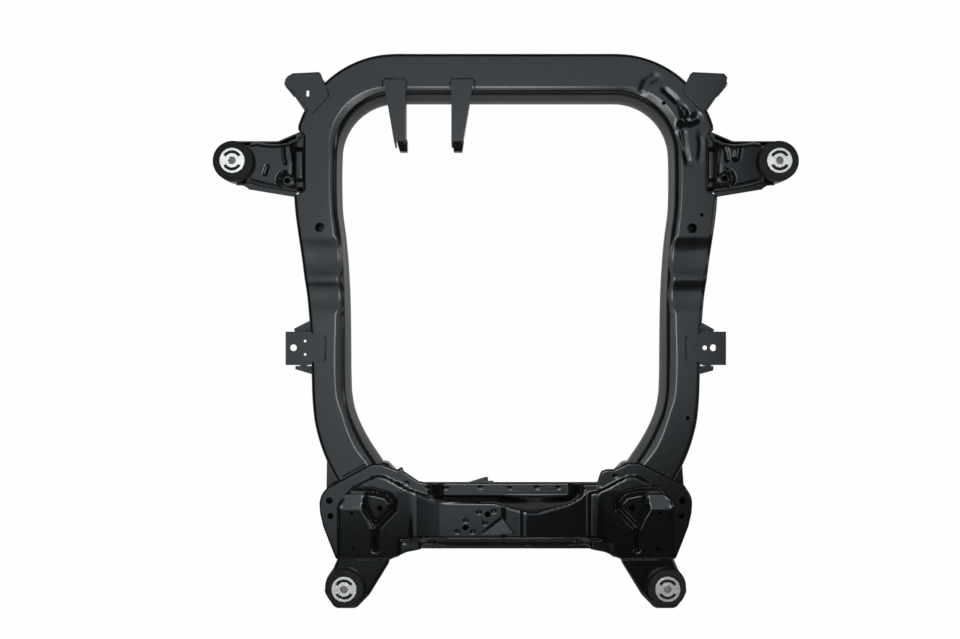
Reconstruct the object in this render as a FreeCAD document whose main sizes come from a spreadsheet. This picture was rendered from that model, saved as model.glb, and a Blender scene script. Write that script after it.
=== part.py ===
import FreeCAD, Part
import math
import os

import Sketcher
from FreeCAD import Placement, Rotation, Vector

# Front subframe of a car, seen from above: a bent tube frame, a pressed crossmember at the rear,
# two front and two rear arms that carry rubber bushes, and small welded brackets.
# X runs to the car's right, Y to its front, Z up. The floor under the four bush cores is Z = 0.

# Sizes in millimetres, and angles in degrees
SIZES = {
    # Tube frame: places of its centre line
    "beam_y": 420.5,
    "rail_x": 311.5,
    "shoulder_y": 194.1,
    "waist_x": 290.0,
    "waist_y": 44.1,
    "tail_bend_y": -143.9,
    "tail_x": 206.0,
    "tail_y": -292.9,
    "corner_bend": 130.0,
    "tail_bend": 150.0,
    # Tube frame: section
    "tube_bottom": 22.0,
    "tube_depth": 62.0,
    "tube_wall": 2.5,
    "beam_width": 78.0,
    "rail_width": 75.0,
    "waist_width": 63.0,
    "tail_width": 74.0,
    "outer_edge_round": 13.0,
    "lower_edge_round": 12.0,
    "ridge_round": 8.0,
    "ridge_inset": 27.0,
    "inner_edge_round": 10.0,
    "inner_edge_drop": 24.0,
    # Saddle dents pressed across the rails, and the access holes ahead of them
    "saddle_depth": 9.0,
    "front_saddle_y": 123.1,
    "front_saddle_length": 70.0,
    "rear_saddle_y": 60.1,
    "rear_saddle_length": 54.0,
    "access_y": 171.6,
    "access_inset": 4.0,
    "access_radius": 8.0,
    "drain_radius": 3.3,
    "drain_aside": 16.0,
    "drain_ahead": 21.0,
    "tail_drain_aside": 9.0,
    "tail_drain_ahead": 2.0,
    # Pressed sheet
    "sheet": 2.5,
    "draft": 12.0,
    # Crossmember
    "beam_half_length": 152.0,
    "front_flange_y": -249.9,
    "rear_flange_y": -360.4,
    "flange": 17.0,
    "seam_drop": 22.0,
    "box_rise": 13.0,
    "shell_shoulder": 6.0,
    "corner_front_y": -216.9,
    "corner_rear_y": -374.9,
    "corner_half_width": 307.0,
    "pad_x": 249.5,
    "pad_y": -330.4,
    "pad_width": 46.0,
    "pad_length": 74.0,
    "pad_rise": 7.0,
    "pad_bolt_spacing": 61.0,
    "pad_hole_radius": 3.4,
    "boss_x": 207.0,
    "boss_y": -289.4,
    "boss_radius": 17.0,
    "boss_hole_radius": 5.0,
    "rim_hole_inset": 17.0,
    "rim_hole_y": -278.9,
    "rim_hole_spacing": 25.0,
    "rim_hole_radius": 5.3,
    "floor_hole_spacing": 90.0,
    "floor_hole_radius": 14.0,
    # Bushes
    "front_bush_x": 450.0,
    "front_bush_y": 282.1,
    "rear_bush_x": 266.0,
    "rear_bush_y": -422.9,
    "core_length": 92.0,
    "core_bore": 6.25,
    "core_radius": 11.0,
    "disc_radius": 20.5,
    "disc_depth": 5.0,
    "foot_radius": 17.0,
    "foot_depth": 5.0,
    "slot_inner": 11.8,
    "slot_outer": 16.6,
    "slot_angle": 118.0,
    "front_rubber_radius": 33.0,
    "rear_rubber_radius": 31.0,
    "rubber_lip": 9.0,
    "sleeve_radius": 30.0,
    "sleeve_wall": 2.0,
    "ring_wall": 3.5,
    "ring_bottom": 22.0,
    "ring_top": 66.0,
    "fit_gap": 0.1,
    # Arms
    "front_arm_top": 64.0,
    "front_arm_flare_ahead": 22.0,
    "front_arm_flare_behind": 16.0,
    "arm_seam_z": 48.0,
    "arm_floor_z": 28.0,
    "rear_arm_top": 66.0,
    "arm_lip": 8.0,
    "arm_hole_x": 370.0,
    "arm_hole_radius": 5.0,
    # Front mount fingers
    "left_finger_x": -183.3,
    "right_finger_x": -71.5,
    "finger_width": 36.4,
    "finger_tip_width": 17.0,
    "finger_reach": 66.0,
    "finger_overlap": 34.0,
    "finger_height": 46.0,
    "finger_sheet": 3.0,
    # Corner brackets
    "corner_bracket_drop": 5.0,
    "ear_reach": 54.0,
    "ear_root": 20.0,
    "ear_ahead": 8.0,
    "ear_behind": 60.0,
    "ear_hole_x": 17.0,
    "ear_hole_back": 25.0,
    "ear_hole_radius": 3.0,
    "bracket_sheet": 3.0,
    "bracket_flange": 14.0,
    # Side brackets
    "side_bracket_y": -26.9,
    "side_bracket_length": 55.0,
    "side_bracket_reach": 64.0,
    "side_bracket_overlap": 23.0,
    "side_bracket_flange": 12.0,
    "gusset_length": 88.0,
    "gusset_reach": 32.0,
    "gusset_depth": 34.0,
    "side_bolt_radius": 5.5,
    "side_lock_radius": 3.8,
    "side_pin_radius": 3.3,
    "side_small_radius": 2.2,
    # Clip tab under the front flange
    "clip_x": -50.0,
    "clip_half": 31.0,
    "clip_lap": 6.0,
    "clip_reach": 8.5,
    "clip_sheet": 2.0,
    # Nuts
    "nut_width": 16.0,
    "nut_height": 9.0,
    "nut_bore": 5.0,
    "nut_clearance": 1.0,
    "outer_nut_x": -66.0,
    "outer_nut_behind": 16.0,
    "inner_nut_x": -30.0,
    "inner_nut_ahead": 6.0,
}

doc = FreeCAD.newDocument("subframe")
sheet = doc.addObject("Spreadsheet::Sheet", "Sizes")
for row, (name, number) in enumerate(SIZES.items(), 1):
    sheet.set(f"A{row}", name)
    sheet.set(f"B{row}", str(number))
    sheet.setAlias(f"B{row}", name)
doc.recompute()


def size(name):
    """Value of one named cell of the sheet."""
    return float(sheet.get(name))


# Sizes that several pieces share, worked out from the sheet
TUBE_TOP = size("tube_bottom") + size("tube_depth")
SHEET = size("sheet")
PLATE_TOP = TUBE_TOP + SHEET
BOX_TOP = TUBE_TOP + size("box_rise")
SEAM_TOP = TUBE_TOP - size("seam_drop")
SEAM = SEAM_TOP - SHEET
FLOOR = size("tube_bottom")
RING_RADIUS = size("sleeve_radius") + size("fit_gap") + size("ring_wall")
SIDES = {"left": -1, "right": 1}
kept = []


def keep(label, shape):
    """Store a finished shape as a sub-part of the document."""
    feature = doc.addObject("Part::Feature", label)
    feature.Label = label
    feature.Shape = shape
    feature.Placement = Placement()
    kept.append(feature)
    return feature


def mirrored(shape):
    return shape.mirror(Vector(0, 0, 0), Vector(1, 0, 0))


def on_side(shape, side):
    """The shape is made for the right side, X above zero."""
    if SIDES[side] > 0:
        return shape
    return mirrored(shape)


def drill(shape, x, y, radius, low, high):
    """Round hole through what lies between two heights."""
    return shape.cut(Part.makeCylinder(radius, high - low, Vector(x, y, low)))


# Tube frame
def tube_section(foot, across, width, inset):
    """Closed section of the tube at one station; across points to the frame's inside."""
    half = width / 2 - inset
    top = TUBE_TOP - inset
    low = size("tube_bottom") + inset
    outer = size("outer_edge_round") - inset
    lower = size("lower_edge_round") - inset
    ridge = size("ridge_round") - inset
    inner = size("inner_edge_round") - inset
    ridge_w = half - size("ridge_inset")
    inner_z = top - size("inner_edge_drop")
    drop = math.degrees(math.atan2(size("inner_edge_drop"), size("ridge_inset")))
    corners = [
        (-half + outer, top - outer, outer, 180, 90),
        (ridge_w, top - ridge, ridge, 90, 90 - drop),
        (half - inner, inner_z - inner, inner, 90 - drop, 0),
        (half - lower, low + lower, lower, 0, -90),
        (-half + lower, low + lower, lower, -90, -180),
    ]

    def place(w, z):
        return foot + across * w + Vector(0, 0, z)

    arcs = []
    for w, z, radius, start, end in corners:
        points = []
        for angle in (start, (start + end) / 2, end):
            turn = math.radians(angle)
            points.append(place(w + radius * math.cos(turn), z + radius * math.sin(turn)))
        arcs.append(points)
    edges = []
    for number, points in enumerate(arcs):
        following = arcs[(number + 1) % len(arcs)]
        edges.append(Part.Arc(*points).toShape())
        edges.append(Part.LineSegment(points[2], following[0]).toShape())
    return Part.Wire(edges)


def tube_half(inset):
    """Right half of the tube's skin as a solid, from the middle of the front beam to the tail."""
    bend = size("corner_bend")
    beam_y = size("beam_y")
    rail_x = size("rail_x")
    inward = Vector(-1, 0, 0)
    bend_centre = Vector(rail_x - bend, beam_y - bend, 0)
    tail_turn = math.atan2(size("waist_x") - size("tail_x"), size("tail_bend_y") - size("tail_y"))
    tangent = size("tail_bend") * math.tan(tail_turn / 2)
    tail_centre = Vector(size("waist_x") - size("tail_bend"), size("tail_bend_y") + tangent, 0)
    away = Vector(-math.sin(tail_turn), -math.cos(tail_turn), 0)
    tail_inward = Vector(-math.cos(tail_turn), math.sin(tail_turn), 0)
    tail_start = Vector(size("waist_x"), size("tail_bend_y"), 0) + away * tangent
    tail_end = Vector(size("tail_x"), size("tail_y"), 0)

    def station(x, y, across, width):
        return tube_section(Vector(x, y, 0), across, width, inset)

    def run(sections):
        return Part.makeLoft(sections, True, True)

    back = Vector(0, -1, 0)
    pieces = [
        run([station(0, beam_y, back, size("beam_width")),
             station(rail_x - bend, beam_y, back, size("rail_width"))]),
        Part.Face(station(rail_x - bend, beam_y, back, size("rail_width"))).revolve(
            bend_centre, Vector(0, 0, 1), -90),
    ]
    shoulder = size("shoulder_y")
    waist = size("waist_y")
    rail_sections = [station(rail_x, beam_y - bend, inward, size("rail_width"))]
    steps = 4
    for step in range(steps + 1):
        part = step / steps
        ease = part * part * (3 - 2 * part)
        rail_sections.append(station(
            rail_x + (size("waist_x") - rail_x) * ease,
            shoulder + (waist - shoulder) * part,
            inward,
            size("rail_width") + (size("waist_width") + 5 - size("rail_width")) * ease))
    rail_sections.append(station(size("waist_x"), tail_centre.y, inward, size("waist_width")))
    pieces.append(run(rail_sections))
    pieces.append(Part.Face(station(size("waist_x"), tail_centre.y, inward,
                                    size("waist_width"))).revolve(
        tail_centre, Vector(0, 0, 1), -math.degrees(tail_turn)))
    pieces.append(run([
        tube_section(tail_start, tail_inward, size("waist_width"), inset),
        tube_section(tail_end, tail_inward, size("tail_width"), inset)]))
    whole = pieces[0].multiFuse(pieces[1:])
    return whole.cut(saddle_tools(inset)).removeSplitter()


def saddle_tools(inset):
    """Rounded rams that press the two saddles into a rail."""
    depth = size("saddle_depth")
    rams = []
    for name in ("front", "rear"):
        half = size(f"{name}_saddle_length") / 2
        radius = (half * half + depth * depth) / (2 * depth)
        middle = Vector(size("waist_x") + 8, size(f"{name}_saddle_y"), TUBE_TOP - depth + radius)
        grown = radius + inset
        rams.append(Part.makeCylinder(grown, 60, middle, Vector(1, 0, 0)))
        rams.append(Part.makeSphere(grown, middle))
    return rams[0].multiFuse(rams[1:])


def tube_skin(inset):
    half = tube_half(inset)
    return half.fuse(mirrored(half)).removeSplitter()


tube_outside = tube_skin(0)


def frame_tube():
    tube = tube_outside.cut(tube_skin(size("tube_wall")))
    low = TUBE_TOP - 15
    high = TUBE_TOP + 5
    access_x = size("rail_x") - size("access_inset")
    for sign in (-1, 1):
        tube = drill(tube, sign * access_x, size("access_y"), size("access_radius"), low, high)
    drains = [
        (access_x + size("drain_aside"), size("access_y") + size("drain_ahead")),
        (size("waist_x") + size("tail_drain_aside"),
         size("tail_bend_y") + size("tail_drain_ahead")),
    ]
    for x, y in drains:
        tube = drill(tube, x, y, size("drain_radius"), low, high)
    keep("frame_tube", tube)


frame_tube()


# Pressed forms
def rounded_wire(points, radius, inset, level):
    """Level outline inset from a counter-clockwise one, its corners rounded about fixed centres."""
    moved = inset_outline(points, inset)
    count = len(moved)
    arcs = []
    for number in range(count):
        corner = Vector(*moved[number], level)
        before = (Vector(*moved[number - 1], level) - corner).normalize()
        after = (Vector(*moved[(number + 1) % count], level) - corner).normalize()
        convex = before.cross(after).z < 0
        bend = radius - inset if convex else radius + inset
        half = before.getAngle(after) / 2
        middle = (before + after).normalize()
        reach = bend / math.tan(half)
        depth = bend / math.sin(half) - bend
        arcs.append((corner + before * reach, corner + middle * depth, corner + after * reach))
    edges = []
    for number, arc in enumerate(arcs):
        edges.append(Part.Arc(*arc).toShape())
        edges.append(Part.LineSegment(arc[2], arcs[(number + 1) % count][0]).toShape())
    return Part.Wire(edges)


def rounded_prism(points, radius, low, high):
    """Upright block on a plan outline, its upright edges rounded."""
    return Part.Face(rounded_wire(points, radius, 0, low)).extrude(Vector(0, 0, high - low))


def inset_outline(points, inset):
    """Move each side of a counter-clockwise plan outline inwards by the same distance."""
    lines = []
    count = len(points)
    for number in range(count):
        x0, y0 = points[number]
        x1, y1 = points[(number + 1) % count]
        length = math.hypot(x1 - x0, y1 - y0)
        ux, uy = (x1 - x0) / length, (y1 - y0) / length
        lines.append((x0 - uy * inset, y0 + ux * inset, ux, uy))
    moved = []
    for number in range(count):
        ax, ay, aux, auy = lines[number - 1]
        bx, by, bux, buy = lines[number]
        cross = aux * buy - auy * bux
        along = ((bx - ax) * buy - (by - ay) * bux) / cross
        moved.append((ax + aux * along, ay + auy * along))
    return moved


def pressing(points, low, high, inset, draft=0.0, corner=14.0):
    """Outside (inset 0) or inside of a pressed form; draft is the lean of its walls in degrees."""
    lean = (high - low) * math.tan(math.radians(draft))
    foot = rounded_wire(points, corner, inset, low)
    if lean == 0:
        return Part.Face(foot).extrude(Vector(0, 0, high - inset - low))
    crown = rounded_wire(points, corner, inset + lean, high - inset)
    return Part.makeLoft([foot, crown], True, True)


def shoulder_rounded(block, level, radius):
    rim = [edge for edge in block.Edges if edge.BoundBox.ZMin > level - 0.01]
    return block.makeFillet(radius, rim)


# Crossmember
def corner_outline():
    """Plan outline of the right corner of the crossmember, counter-clockwise."""
    inner = size("beam_half_length")
    outer = size("corner_half_width")
    front = size("corner_front_y")
    rear = size("corner_rear_y")
    return [
        (inner + 20, rear), (outer - 26, rear), (outer, front - 72), (outer - 13, front - 32),
        (outer - 72, front), (inner + 45, front), (inner + 6, front - 41),
    ]


def beam_outline(margin):
    """Plan outline of the box between the corners; margin reaches over the flanges."""
    half = size("beam_half_length") + 24
    front = size("front_flange_y") - size("flange") + margin
    rear = size("rear_flange_y") + size("flange") - margin
    return [(-half, rear), (half, rear), (half, front), (-half, front)]


def rectangle(x, y, width, length):
    return [(x - width / 2, y - length / 2), (x + width / 2, y - length / 2),
            (x + width / 2, y + length / 2), (x - width / 2, y + length / 2)]


def upper_form(inset):
    """Outside or inside of the upper pressing of the crossmember."""
    shoulder = size("shell_shoulder") - inset
    corner = pressing(corner_outline(), SEAM, PLATE_TOP, inset)
    corner = shoulder_rounded(corner, PLATE_TOP - inset, shoulder)
    box = pressing(beam_outline(0), SEAM, BOX_TOP, inset, size("draft"))
    box = shoulder_rounded(box, BOX_TOP - inset, shoulder)
    pad = pressing(rectangle(size("pad_x"), size("pad_y"), size("pad_width"), size("pad_length")),
                   PLATE_TOP - SHEET - 1, PLATE_TOP + size("pad_rise"), inset, 2 * size("draft"))
    base = PLATE_TOP - SHEET - 1
    rise = PLATE_TOP + size("pad_rise") - 1 - inset - base
    boss = Part.makeCone(size("boss_radius") - inset, size("boss_radius") - inset - rise / 3, rise,
                         Vector(size("boss_x"), size("boss_y"), base))
    right = corner.multiFuse([pad, boss])
    return box.multiFuse([right, mirrored(right)])


def lower_form(inset):
    """Outside or inside of the lower pressing, which stands on its floor."""
    depth = SEAM - (FLOOR - SHEET)
    flat = []
    for outline in (corner_outline(), beam_outline(0)):
        block = pressing(outline, -SEAM, depth - SEAM, inset)
        block = shoulder_rounded(block, depth - SEAM - inset, size("shell_shoulder") - inset)
        flat.append(block.mirror(Vector(0, 0, 0), Vector(0, 0, 1)))
    return flat[1].multiFuse([flat[0], mirrored(flat[0])])


def flange_strip(low):
    """Flat rim along the front and rear of the box, where the two pressings are spot welded."""
    outline = beam_outline(size("flange"))
    return rounded_prism(outline, 10, low, low + SHEET)


crossmember_upper = upper_form(0).fuse(flange_strip(SEAM))
crossmember_lower = lower_form(0).fuse(flange_strip(SEAM - SHEET))


def crossmember_upper_shell():
    shell = crossmember_upper.cut(upper_form(SHEET)).cut(tube_outside)
    low = SEAM - 1
    high = BOX_TOP + 10
    for sign in (-1, 1):
        for along in (-1, 1):
            y = size("pad_y") + along * size("pad_bolt_spacing") / 2
            shell = drill(shell, sign * size("pad_x"), y, size("pad_hole_radius"), low, high)
        boss_x = sign * size("boss_x")
        shell = drill(shell, boss_x, size("boss_y"), size("boss_hole_radius"), TUBE_TOP, high)
        for step in (0, 1):
            x = sign * (size("corner_half_width") - size("rim_hole_inset"))
            y = size("rim_hole_y") - size("rim_hole_spacing") * step
            shell = drill(shell, x, y, size("rim_hole_radius"), low, high)
    for x, y in box_nut_places():
        shell = drill(shell, x, y, size("nut_bore") + size("nut_clearance"), low, high)
    keep("crossmember_upper_shell", shell)


def crossmember_lower_shell():
    shell = crossmember_lower.cut(lower_form(SHEET)).cut(tube_outside)
    for step in (-1, 0, 1):
        x = step * size("floor_hole_spacing")
        shell = drill(shell, x, box_middle_y(), size("floor_hole_radius"), 0, FLOOR + 1)
    keep("crossmember_lower_shell", shell)


def box_middle_y():
    return (size("front_flange_y") + size("rear_flange_y")) / 2


def box_nut_places():
    middle = box_middle_y()
    return [(size("outer_nut_x"), middle - size("outer_nut_behind")),
            (size("inner_nut_x"), middle + size("inner_nut_ahead"))]


crossmember_upper_shell()
crossmember_lower_shell()


# Arms
def arm_pair(name, side, outline, lip_outline, top, centre, hole, trim):
    """Upper and lower pressing of one arm; they meet at the seam and hug the bush ring."""
    seam = size("arm_seam_z")
    floor = size("arm_floor_z")
    ring = Part.makeCylinder(RING_RADIUS + size("fit_gap"), 200, Vector(*centre, -20))
    away = ring.fuse(trim)

    def upper(inset):
        return shoulder_rounded(pressing(outline, seam, top, inset), top - inset, 6 - inset)

    def lower(inset):
        block = pressing(outline, -seam, -floor, inset)
        block = shoulder_rounded(block, -floor - inset, 6 - inset)
        return block.mirror(Vector(0, 0, 0), Vector(0, 0, 1))

    above = upper(0).cut(upper(SHEET)).cut(away)
    if hole:
        above = drill(above, *hole, size("arm_hole_radius"), seam, top + 1)
    lip = rounded_prism(lip_outline, 8, seam - SHEET, seam)
    below = lower(0).fuse(lip).cut(lower(SHEET)).cut(away)
    keep(f"{name}_arm_upper_{side}", on_side(biggest(above), side))
    keep(f"{name}_arm_lower_{side}", on_side(biggest(below), side))


def biggest(shape):
    """The pressing itself, without the offcuts that trimming leaves."""
    return max(shape.Solids, key=lambda solid: solid.Volume)


def front_arm(side):
    x = size("front_bush_x")
    y = size("front_bush_y")
    reach = RING_RADIUS + SHEET + 0.5
    root = size("rail_x") + size("rail_width") / 2 - 20
    ahead = y + reach
    behind = y - reach
    flare_a = size("front_arm_flare_ahead")
    flare_b = size("front_arm_flare_behind")
    end = x + 12
    outline = [
        (root, behind - flare_b), (x - 24, behind), (end, behind), (end, ahead), (x - 70, ahead),
        (root, ahead + flare_a),
    ]
    lip = [(px, py - size("arm_lip") if py < y else py) for px, py in outline]
    beyond = Part.makeBox(200, 200, 200, Vector(x, y - 100, -50))
    hole = (size("arm_hole_x"), y - 25)
    trim = tube_outside.fuse(beyond)
    arm_pair("front", side, outline, lip, size("front_arm_top"), (x, y), hole, trim)


def rear_arm(side):
    x = size("rear_bush_x")
    y = size("rear_bush_y")
    reach = RING_RADIUS + SHEET + 0.5
    root = size("corner_rear_y")
    outline = [
        (x - 40, y - 14), (x - 18, y - reach), (x + 18, y - reach), (x + reach, y - 8),
        (x + 4, root + 20), (x - 77, root + 20), (x - 72, y + 38),
    ]
    beyond = Part.makeBox(300, 60, 200, Vector(x - 150, root, -50))
    arm_pair("rear", side, outline, outline, size("rear_arm_top"), (x, y), None, beyond)


for side in SIDES:
    front_arm(side)
    rear_arm(side)


# Sketches and features of the turned and folded pieces
def plane_of(body, role):
    return next(plane for plane in body.Origin.OriginFeatures if plane.Role == role)


def sketch_on(body, name, role, height=None):
    """Sketch on one of the body's own planes, raised by a formula where one is given."""
    sketch = body.newObject("Sketcher::SketchObject", name)
    sketch.AttachmentSupport = (plane_of(body, role), [""])
    sketch.MapMode = "FlatFace"
    if height:
        sketch.setExpression("AttachmentOffset.Base.z", height)
    return sketch


def hold(sketch, kind, first, point, formula):
    """Tie a point's distance from the sketch's origin to a formula of the sheet."""
    number = float(sketch.evalExpression(formula))
    index = sketch.addConstraint(Sketcher.Constraint(kind, -1, 1, first, point, number))
    sketch.setExpression(f"Constraints[{index}]", formula)


def spot(sketch, x, y):
    """Point in a sketch from two formulas."""
    return Vector(float(sketch.evalExpression(x)), float(sketch.evalExpression(y)), 0)


def closed_outline(sketch, corners):
    """Straight-sided outline through corners, each a pair of formulas."""
    places = [spot(sketch, x, y) for x, y in corners]
    first = sketch.GeometryCount
    count = len(places)
    for number, place in enumerate(places):
        sketch.addGeometry(Part.LineSegment(place, places[(number + 1) % count]), False)
    for number, (x, y) in enumerate(corners):
        following = first + (number + 1) % count
        sketch.addConstraint(Sketcher.Constraint("Coincident", first + number, 2, following, 1))
        hold(sketch, "DistanceX", first + number, 1, x)
        hold(sketch, "DistanceY", first + number, 1, y)


def circle(sketch, x, y, radius):
    """Circle whose centre and radius are formulas."""
    reach = float(sketch.evalExpression(radius))
    ring = Part.Circle(spot(sketch, x, y), Vector(0, 0, 1), reach)
    number = sketch.addGeometry(ring, False)
    hold(sketch, "DistanceX", number, 3, x)
    hold(sketch, "DistanceY", number, 3, y)
    index = sketch.addConstraint(Sketcher.Constraint("Radius", number, reach))
    sketch.setExpression(f"Constraints[{index}]", radius)


def pad(body, sketch, length):
    feature = body.newObject("PartDesign::Pad", sketch.Name + "_pad")
    feature.Profile = sketch
    feature.setExpression("Length", length)
    return feature


def cut_through(body, sketch):
    """Pocket both ways through the body."""
    feature = body.newObject("PartDesign::Pocket", sketch.Name + "_cut")
    feature.Profile = sketch
    feature.Type = 1
    feature.Midplane = True
    return feature


def turned(body, sketch):
    feature = body.newObject("PartDesign::Revolution", sketch.Name + "_turned")
    feature.Profile = sketch
    feature.ReferenceAxis = (sketch, ["V_Axis"])
    feature.Angle = 360
    return feature


def new_body(label, x="0", y="0", z="0"):
    """Body with its own label, placed by formulas."""
    body = doc.addObject("PartDesign::Body", label)
    body.Label = label
    for axis, formula in (("x", x), ("y", y), ("z", z)):
        body.setExpression(f"Placement.Base.{axis}", formula)
    return body


def trimmed(label, body, tool):
    """Piece cut to sit flush on what carries it."""
    piece = doc.addObject("Part::Cut", label)
    piece.Label = label
    piece.Base = body
    piece.Tool = tool
    kept.append(piece)
    return piece


# Bushes
def bush(end, side):
    sign = SIDES[side]
    x = f"{sign} * Sizes.{end}_bush_x"
    y = f"Sizes.{end}_bush_y"
    place = (x, y)
    name = f"{end}_{side}"
    rubber_radius = f"Sizes.{end}_rubber_radius"

    ring = new_body(f"bush_ring_{name}", *place)
    outer = "Sizes.sleeve_radius + Sizes.fit_gap + Sizes.ring_wall"
    profile = sketch_on(ring, f"ring_profile_{name}", "XZ_Plane")
    closed_outline(profile, [
        ("Sizes.sleeve_radius + Sizes.fit_gap", "Sizes.ring_bottom"), (outer, "Sizes.ring_bottom"),
        (outer, "Sizes.ring_top"), ("Sizes.sleeve_radius + Sizes.fit_gap", "Sizes.ring_top")])
    turned(ring, profile)

    sleeve = new_body(f"bush_sleeve_{name}", *place)
    profile = sketch_on(sleeve, f"sleeve_profile_{name}", "XZ_Plane")
    inner = "Sizes.sleeve_radius - Sizes.sleeve_wall"
    lip = "Sizes.sleeve_radius + Sizes.ring_wall / 2"
    closed_outline(profile, [
        (inner, "Sizes.ring_bottom - Sizes.sleeve_wall"),
        ("Sizes.sleeve_radius", "Sizes.ring_bottom - Sizes.sleeve_wall"),
        ("Sizes.sleeve_radius", "Sizes.ring_top"), (lip, "Sizes.ring_top"),
        (lip, "Sizes.ring_top + Sizes.sleeve_wall"), (inner, "Sizes.ring_top + Sizes.sleeve_wall")])
    turned(sleeve, profile)

    rubber = new_body(f"bush_rubber_{name}", *place)
    profile = sketch_on(rubber, f"rubber_profile_{name}", "XZ_Plane")
    seat = "Sizes.ring_top + Sizes.sleeve_wall"
    top = "Sizes.core_length - Sizes.disc_depth"
    groove = f"({top} + {seat}) / 2"
    closed_outline(profile, [
        ("Sizes.core_radius", "Sizes.ring_bottom + Sizes.foot_depth"), (inner, "Sizes.ring_bottom"),
        (inner, seat), (rubber_radius, seat), (rubber_radius, f"{groove} - 2"),
        (f"{rubber_radius} - Sizes.rubber_lip / 3", groove), (rubber_radius, f"{groove} + 2"),
        (rubber_radius, f"{top} - 2"), (f"{rubber_radius} - Sizes.rubber_lip / 2", top),
        ("Sizes.core_radius", top)])
    turned(rubber, profile)

    core = new_body(f"bush_core_{name}", *place)
    profile = sketch_on(core, f"core_profile_{name}", "XZ_Plane")
    under = "Sizes.core_length - Sizes.disc_depth"
    closed_outline(profile, [
        ("Sizes.core_bore", "0"), ("Sizes.foot_radius", "0"), ("Sizes.foot_radius", "Sizes.foot_depth"),
        ("Sizes.core_radius", "Sizes.foot_depth"), ("Sizes.core_radius", under),
        ("Sizes.disc_radius", under), ("Sizes.disc_radius", "Sizes.core_length"),
        ("Sizes.core_bore", "Sizes.core_length")])
    turned(core, profile)
    window = sketch_on(core, f"window_profile_{name}", "YZ_Plane")
    closed_outline(window, [
        ("Sizes.slot_inner", under), ("Sizes.slot_outer", under),
        ("Sizes.slot_outer", "Sizes.core_length"), ("Sizes.slot_inner", "Sizes.core_length")])
    groove = core.newObject("PartDesign::Groove", f"window_{name}")
    groove.Profile = window
    groove.ReferenceAxis = (window, ["V_Axis"])
    groove.Midplane = True
    groove.setExpression("Angle", "Sizes.slot_angle")
    pair = core.newObject("PartDesign::PolarPattern", f"windows_{name}")
    pair.Originals = [groove]
    pair.Axis = (plane_of(core, "Z_Axis"), [""])
    pair.Angle = 360
    pair.Occurrences = 2
    core.Tip = pair
    kept.extend([ring, sleeve, rubber, core])


for end in ("front", "rear"):
    for side in SIDES:
        bush(end, side)

tube_tool = doc.addObject("Part::Feature", "tube_outside")
tube_tool.Shape = tube_outside


# Front mount fingers
def finger(side, straight):
    """Folded channel that reaches from the front beam into the frame; straight is its upright side."""
    inner_y = "(Sizes.beam_y - Sizes.beam_width / 2)"
    top = "Sizes.tube_bottom + Sizes.tube_depth + Sizes.finger_sheet"
    body = new_body(f"finger_blank_{side}", f"Sizes.{side}_finger_x", inner_y, top)

    def channel(name, height, width, lean):
        """Section of the channel, open below; lean moves it towards the straight side."""
        sketch = sketch_on(body, f"{name}_{side}", "XZ_Plane", height)
        low = "-Sizes.finger_height"
        wall = "Sizes.finger_sheet"
        left = f"({lean}) - {width} / 2"
        right = f"({lean}) + {width} / 2"
        closed_outline(sketch, [
            (left, low), (f"{left} + {wall}", low), (f"{left} + {wall}", f"-{wall}"),
            (f"{right} - {wall}", f"-{wall}"), (f"{right} - {wall}", low), (right, low), (right, "0"),
            (left, "0")])
        return sketch

    root = channel("finger_root", "-Sizes.finger_overlap", "Sizes.finger_width", "0")
    lean = f"{straight} * (Sizes.finger_width - Sizes.finger_tip_width) / 2"
    tip = channel("finger_tip", "Sizes.finger_reach + 14", "Sizes.finger_tip_width", lean)
    loft = body.newObject("PartDesign::AdditiveLoft", f"finger_{side}_folded")
    loft.Profile = root
    loft.Sections = [tip]
    loft.Ruled = True
    window = sketch_on(body, f"finger_mouth_{side}", "YZ_Plane")
    closed_outline(window, [
        ("-Sizes.finger_reach - 20", "-Sizes.finger_height - 1"), ("-Sizes.finger_reach - 20", "1"),
        ("-Sizes.finger_reach", "1"), ("-Sizes.finger_reach - 10", "-Sizes.finger_height / 2"),
        ("-Sizes.finger_reach + 12", "-Sizes.finger_height - 1")])
    cut_through(body, window)
    trimmed(f"engine_mount_finger_{side}", body, tube_tool)


finger("left", 1)
finger("right", -1)


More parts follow.
